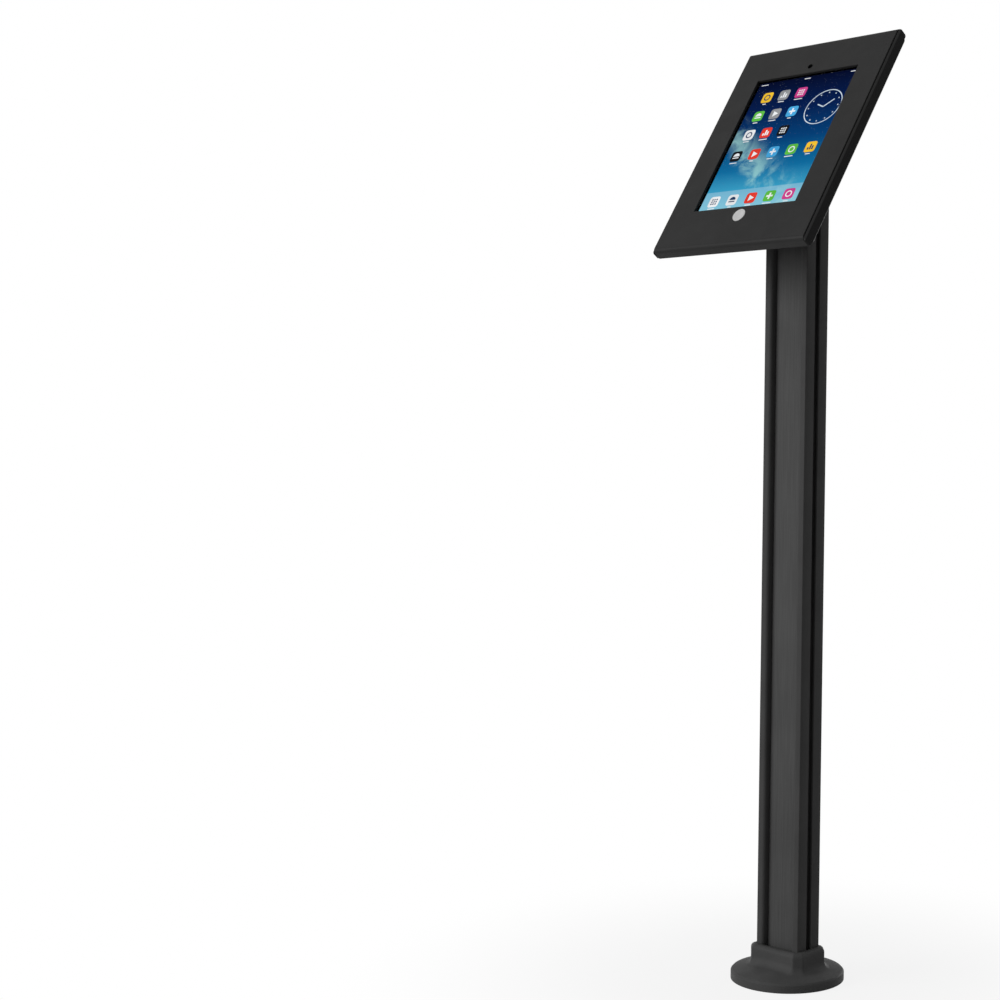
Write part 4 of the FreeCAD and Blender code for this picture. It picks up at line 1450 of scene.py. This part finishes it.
@dataclass(frozen=True)
class Dial:
    """Plain clock face beside the upper tiles."""
    centre: Point2 = (46.0, 45.0)
    radius: float = 26.0
    hole: float = 24.8
    rim_steps: int = 72
    mark_reach: float = 21.5
    mark_radius: float = 0.9
    mark_steps: int = 12
    hours: int = 12
    hands: tuple[tuple[float, float], ...] = ((52.0, 16.0), (-64.0, 11.0))
    hand_half: float = 0.8

    def shapes(self, rise: float) -> list[list[Ring]]:
        """Draw the rim, the hour marks and the hands.

        Args:
            rise: height of the display's middle.

        Returns:
            One list of rings for each closed shape.
        """
        x, z = self.centre[0], rise + self.centre[1]
        shapes = [[circle(x, z, radius, self.rim_steps) for radius in (self.radius, self.hole)]]
        for hour in range(self.hours):
            turn = 2 * math.pi * hour / self.hours
            shapes.append([circle(x + self.mark_reach * math.sin(turn),
                                  z + self.mark_reach * math.cos(turn),
                                  self.mark_radius, self.mark_steps)])
        for turn_deg, length in self.hands:
            turn = math.radians(turn_deg)
            along = Vector((math.sin(turn), math.cos(turn)))
            side = Vector((along.y, -along.x)) * self.hand_half
            end = Vector((x, z)) + along * length
            corners = (Vector((x, z)) - side, end - side, end + side, Vector((x, z)) + side)
            shapes.append([[(corner.x, corner.y) for corner in corners]])
        return shapes


@dataclass(frozen=True)
class TileBlock:
    """Rows of tiles that share their columns, from the display's middle."""
    columns: int
    left: float
    pitch: float
    rows: tuple[float, ...]


@dataclass
class Display:
    """What the lit display shows: tiles with signs, a line at the top and a dial."""
    size: Point2 = (148.0, 197.0)
    front: float = 4.63
    back: float = 5.8
    tile_front: float = 4.58
    tile_back: float = 4.61
    sign_front: float = 4.53
    sign_back: float = 4.56
    tile: float = 15.5
    tile_corner: float = 3.4
    tile_blocks: tuple[TileBlock, ...] = (
        TileBlock(3, -52.0, 26.0, (74.0, 45.0, 16.0)),
        TileBlock(5, -56.0, 28.0, (-16.0, -84.0)),
    )
    caption_half: float = 2.6
    caption_step: float = 0.9
    caption_lengths: int = 5
    caption_heights: Span = (-10.9, -9.7)
    top_line: tuple[Span, ...] = ((-71.0, -60.0), (-4.5, 4.5), (64.0, 71.0))
    top_line_inset: float = 3.6
    top_line_height: float = 1.1
    signs: Signs = Signs()
    dial: Dial = Dial()
    seed: int = 11
    palette: tuple[Colour, ...] = (
        linear(238, 240, 242), linear(96, 190, 70), linear(228, 62, 48), linear(72, 168, 224),
        linear(150, 152, 156), linear(246, 196, 52), linear(206, 66, 140), linear(24, 26, 30),
    )
    pale_sign: Colour = linear(240, 243, 246)
    dark_sign: Colour = linear(30, 58, 96)
    dial_colour: Colour = linear(206, 222, 236)
    pale_from: float = 1.5

    def outline(self, rise: float) -> Ring:
        """Ring of the display's edge, round its middle at a height."""
        half_x, half_z = self.size[0] / 2, self.size[1] / 2
        return rectangle(-half_x, rise - half_z, half_x, rise + half_z)

    def build(self, kit: Kit) -> None:
        """Make the tiles and the signs.

        Args:
            kit: head, trees and finishes.
        """
        places = [(block.left + block.pitch * column, kit.head.tablet_rise + z)
                  for block in self.tile_blocks for z in block.rows
                  for column in range(block.columns)]
        colours = [self.palette[i % len(self.palette)] for i in range(len(places))]
        random.Random(self.seed).shuffle(colours)
        self._tiles(kit, places, colours)
        self._signs(kit, places, colours)

    def _tiles(self, kit: Kit, places: list[Point2], colours: list[Colour]) -> None:
        """Make the tiles.

        Args:
            kit: head, trees and finishes.
            places: middle of each tile.
            colours: colour of each tile.
        """
        base = points_mesh([(x, self.tile_back, z) for x, z in places])
        colour_points(base, colours)
        mesh = grown(base, kit.trees.tiles,
                     {"Width": self.tile, "Height": self.tile, "Corner": self.tile_corner,
                      "Thickness": self.tile_back - self.tile_front,
                      "Finish": kit.finishes["lit_tiles"]})
        place_piece("display_tiles", mesh, kit.head.matrix(), "stand")

    def _signs(self, kit: Kit, places: list[Point2], colours: list[Colour]) -> None:
        """Make the signs on the tiles, the bars under them, the top line and the dial.

        Args:
            kit: head, trees and finishes.
            places: middle of each tile.
            colours: colour of each tile.
        """
        rise = kit.head.tablet_rise
        shapes: list[tuple[list[Ring], Colour]] = []
        low, high = self.caption_heights
        for i, ((x, z), colour) in enumerate(zip(places, colours)):
            sign = self.dark_sign if sum(colour) > self.pale_from else self.pale_sign
            motif = Motif(i % len(Motif))
            shapes += [(rings, sign) for rings in self.signs.shapes(motif, x, z)]
            half = self.caption_half + self.caption_step * (i * 2 % self.caption_lengths)
            shapes.append(([rectangle(x - half, z + low, x + half, z + high)], self.pale_sign))
        top = rise + self.size[1] / 2 - self.top_line_inset
        for left, right in self.top_line:
            bar = rectangle(left, top, right, top + self.top_line_height)
            shapes.append(([bar], self.pale_sign))
        shapes += [(rings, self.dial_colour) for rings in self.dial.shapes(rise)]
        mesh = self._flat_shapes(shapes)
        mesh.materials.append(kit.finishes["lit_tiles"])
        place_piece("display_signs", mesh, kit.head.matrix(), "stand")

    def _flat_shapes(self, shapes: list[tuple[list[Ring], Colour]]) -> bpy.types.Mesh:
        """Make a mesh of thin closed shapes, each with its colour.

        Args:
            shapes: rings, an outline and perhaps one hole with as many points, and a colour.

        Returns:
            The mesh.
        """
        points: list[Point3] = []
        faces: list[list[int]] = []
        colours: list[Colour] = []
        for rings, colour in shapes:
            count = len(rings[0])
            start = len(points)
            for depth in (self.sign_front, self.sign_back):
                for ring in rings:
                    points += [(x, depth, z) for x, z in ring]
            colours += [colour] * (len(points) - start)
            back = start + count * len(rings)
            if len(rings) == 1:
                faces.append([start + i for i in range(count)])
                faces.append([back + i for i in reversed(range(count))])
            for i in range(count):
                j = (i + 1) % count
                faces.append([start + j, start + i, back + i, back + j])
                if len(rings) == 2:
                    hole, hole_back = start + count, back + count
                    faces.append([start + i, start + j, hole + j, hole + i])
                    faces.append([back + j, back + i, hole_back + i, hole_back + j])
                    faces.append([hole + i, hole + j, hole_back + j, hole_back + i])
        mesh = bpy.data.meshes.new("flat_shapes")
        mesh.from_pydata(points, [], faces)
        colour_points(mesh, colours)
        shell = bmesh.new()
        shell.from_mesh(mesh)
        bmesh.ops.recalc_face_normals(shell, faces=shell.faces)
        shell.to_mesh(mesh)
        shell.free()
        return mesh


@dataclass
class Tablet:
    """Tablet behind the window: housing, glass, printed border and display."""
    corner: float = 12.0
    glass_border: float = 1.0
    glass_front: float = 3.6
    glass_back: float = 4.45
    border_front: float = 4.5
    border_back: float = 4.56
    camera_z: float = 113.0
    camera_radius: float = 2.2
    home_z: float = -109.8
    home_radius: float = 5.5
    home_steps: int = 40
    display: Display = field(default_factory=Display)

    FINISHES = {
        "tablet_housing": "blasted_aluminium",
        "tablet_camera": "camera_lens",
        "tablet_home_sensor": "camera_lens",
    }

    def build(self, kit: Kit) -> None:
        """Make the glass, the printed border behind it and the display.

        Args:
            kit: head, trees and finishes.
        """
        kit.dress_nodes(self.FINISHES)
        rise = kit.head.tablet_rise
        half_x, half_z = (half - self.glass_border for half in kit.head.tablet_half)
        corner = self.corner - self.glass_border
        edge = rounded([(x, z, corner) for x, z in
                        rectangle(-half_x, rise - half_z, half_x, rise + half_z)])
        holes = [circle(0.0, self.camera_z, self.camera_radius),
                 circle(0.0, self.home_z, self.home_radius, self.home_steps)]
        screen = self.display.outline(rise)
        sheets = (
            ("front_glass", [edge] + holes, self.glass_front, self.glass_back,
             "cover_glass", "tablet_glass", ("tablet_glass",)),
            ("glass_border", [edge, screen] + holes, self.border_front, self.border_back,
             "black_border", "tablet_glass", ()),
            ("display_panel", [screen], self.display.front, self.display.back,
             "lit_backdrop", "screen", ("tablet_display",)),
        )
        upright = Matrix.Rotation(QUARTER_TURN, 4, "X")
        for name, rings, front, back, finish, slot, replaced in sheets:
            mesh = grown(loops_mesh(rings), kit.trees.section,
                         {"Length": back - front, "Finish": kit.finishes[finish]})
            place = kit.head.matrix() @ Matrix.Translation((0.0, back, 0.0)) @ upright
            place_piece(name, mesh, place, "stand", replaced)
        self.display.build(kit)


# Studio

@dataclass
class Studio:
    """Floor, light and camera, in metres."""
    floor_radius: float = 9.0
    floor_sides: int = 96
    floor_colour: Colour = grey(200)
    floor_mottle: Colour = grey(185)
    mottle_strength: float = 0.04
    mottle_scale: float = 30.0
    mottle_detail: float = 4.0
    floor_roughness: float = 0.9
    floor_specular: float = 0.1
    floor_white: float = 0.86
    clear_span: Span = (0.1, 0.55)
    world_strength: float = 0.3
    lamp_aim: Point3 = (0.0, 0.0, 0.7)
    lamp_size: float = 1.8
    key_place: Point3 = (-1.7, -2.75, 1.35)
    key_power: float = 74.0
    rear_place: Point3 = (-0.15, 3.2, 0.45)
    rear_power: float = 44.0
    camera_place: Point3 = (1.3395947, -1.5963076, 0.608755)
    camera_reach: float = 60.0
    yaw_deg: float = 40.4445
    pitch_deg: float = 1.3375
    roll_deg: float = 0.7885
    focal_px: float = 1786.074
    image_px: float = 1000.0
    centre_px: float = 780.0
    sensor_mm: float = 36.0

    def build(self) -> None:
        """Set up the whole studio."""
        bpy.context.scene.view_settings.view_transform = "Standard"
        self._floor()
        self._world()
        self._lamp("key_light", self.key_place, self.key_power)
        self._lamp("rear_light", self.rear_place, self.rear_power)
        self._camera()
        log.info("studio is ready")

    def _floor(self) -> None:
        """Make the floor, seen nearly white at the foot, with its shadow, and white further out."""
        mesh = bpy.data.meshes.new("studio_floor")
        disc = bmesh.new()
        bmesh.ops.create_circle(disc, cap_ends=True, segments=self.floor_sides,
                                radius=self.floor_radius)
        disc.to_mesh(mesh)
        disc.free()
        floor = bpy.data.objects.new("studio_floor", mesh)
        bpy.context.scene.collection.objects.link(floor)

        material, graph, shader = new_material("studio_floor")
        place = graph.object_place()
        mottle = graph.noise(place, self.mottle_scale, self.mottle_detail)
        base = graph.mix(graph.times(mottle, self.mottle_strength), self.floor_colour,
                         self.floor_mottle)
        graph.feed(shader, {"Base Color": base, "Roughness": self.floor_roughness,
                            "Specular IOR Level": self.floor_specular})
        reach = graph.add("ShaderNodeVectorMath", {0: place}, operation="LENGTH")
        far = graph.mask(reach.outputs["Value"], *self.clear_span)
        paled = graph.add("ShaderNodeMapRange", {"Value": far, "To Min": self.floor_white})
        white = graph.add("ShaderNodeEmission", {"Color": WHITE, "Strength": 1.0})
        blend = graph.add("ShaderNodeMixShader",
                          {0: graph.times(paled, graph.shows_background()), 1: shader, 2: white})
        graph.feed(material.node_tree.nodes["Material Output"], {"Surface": blend})
        mesh.materials.append(material)

    def _world(self) -> None:
        """White surroundings, dimmer as light than as a background."""
        world = bpy.data.worlds.new("studio")
        world.use_nodes = True
        bpy.context.scene.world = world
        graph = Graph(world.node_tree)
        strength = graph.add("ShaderNodeMapRange",
                             {"Value": graph.shows_background(), "To Min": self.world_strength,
                              "To Max": 1.0})
        graph.feed(world.node_tree.nodes["Background"], {"Color": WHITE, "Strength": strength})

    def _lamp(self, name: str, place: Point3, power: float) -> None:
        """Add a large soft lamp that faces the object.

        Args:
            name: the lamp's name.
            place: where it stands.
            power: its power in watts.
        """
        data = bpy.data.lights.new(name, "AREA")
        data.shape = "SQUARE"
        data.size = self.lamp_size
        data.energy = power
        lamp = bpy.data.objects.new(name, data)
        bpy.context.scene.collection.objects.link(lamp)
        lamp.location = place
        away = Vector(place) - Vector(self.lamp_aim)
        lamp.rotation_euler = away.to_track_quat("Z", "Y").to_euler()

    def _camera(self) -> None:
        """Camera at the photograph's place, whose axis meets the picture right of its middle."""
        yaw, pitch, roll = (math.radians(angle) for angle in
                            (self.yaw_deg, self.pitch_deg, self.roll_deg))
        forward = Vector((-math.sin(yaw) * math.cos(pitch), math.cos(yaw) * math.cos(pitch),
                          -math.sin(pitch)))
        level = Vector((math.cos(yaw), math.sin(yaw), 0.0))
        upward = level.cross(forward)
        right = level * math.cos(roll) + upward * math.sin(roll)
        up = upward * math.cos(roll) - level * math.sin(roll)
        data = bpy.data.cameras.new("camera")
        data.sensor_width = self.sensor_mm
        data.lens = self.focal_px / self.image_px * self.sensor_mm
        data.shift_x = 0.5 - self.centre_px / self.image_px
        data.clip_end = self.camera_reach
        camera = bpy.data.objects.new("camera", data)
        bpy.context.scene.collection.objects.link(camera)
        turned = Matrix((right, up, -forward)).transposed().to_4x4()
        camera.matrix_world = Matrix.Translation(self.camera_place) @ turned
        bpy.context.scene.camera = camera


def main() -> None:
    """Build the finishes, the sub-assemblies and the studio."""
    logging.basicConfig(level=logging.INFO, format="%(name)s: %(message)s")
    head = Head()
    trees = GrowthTrees()
    kit = Kit(head, trees, FinishLibrary(head))
    for assembly in (Post(), Foot(), Fasteners(), Enclosure(), Tablet()):
        assembly.build(kit)
    Studio().build()


if __name__ == "__main__":
    main()
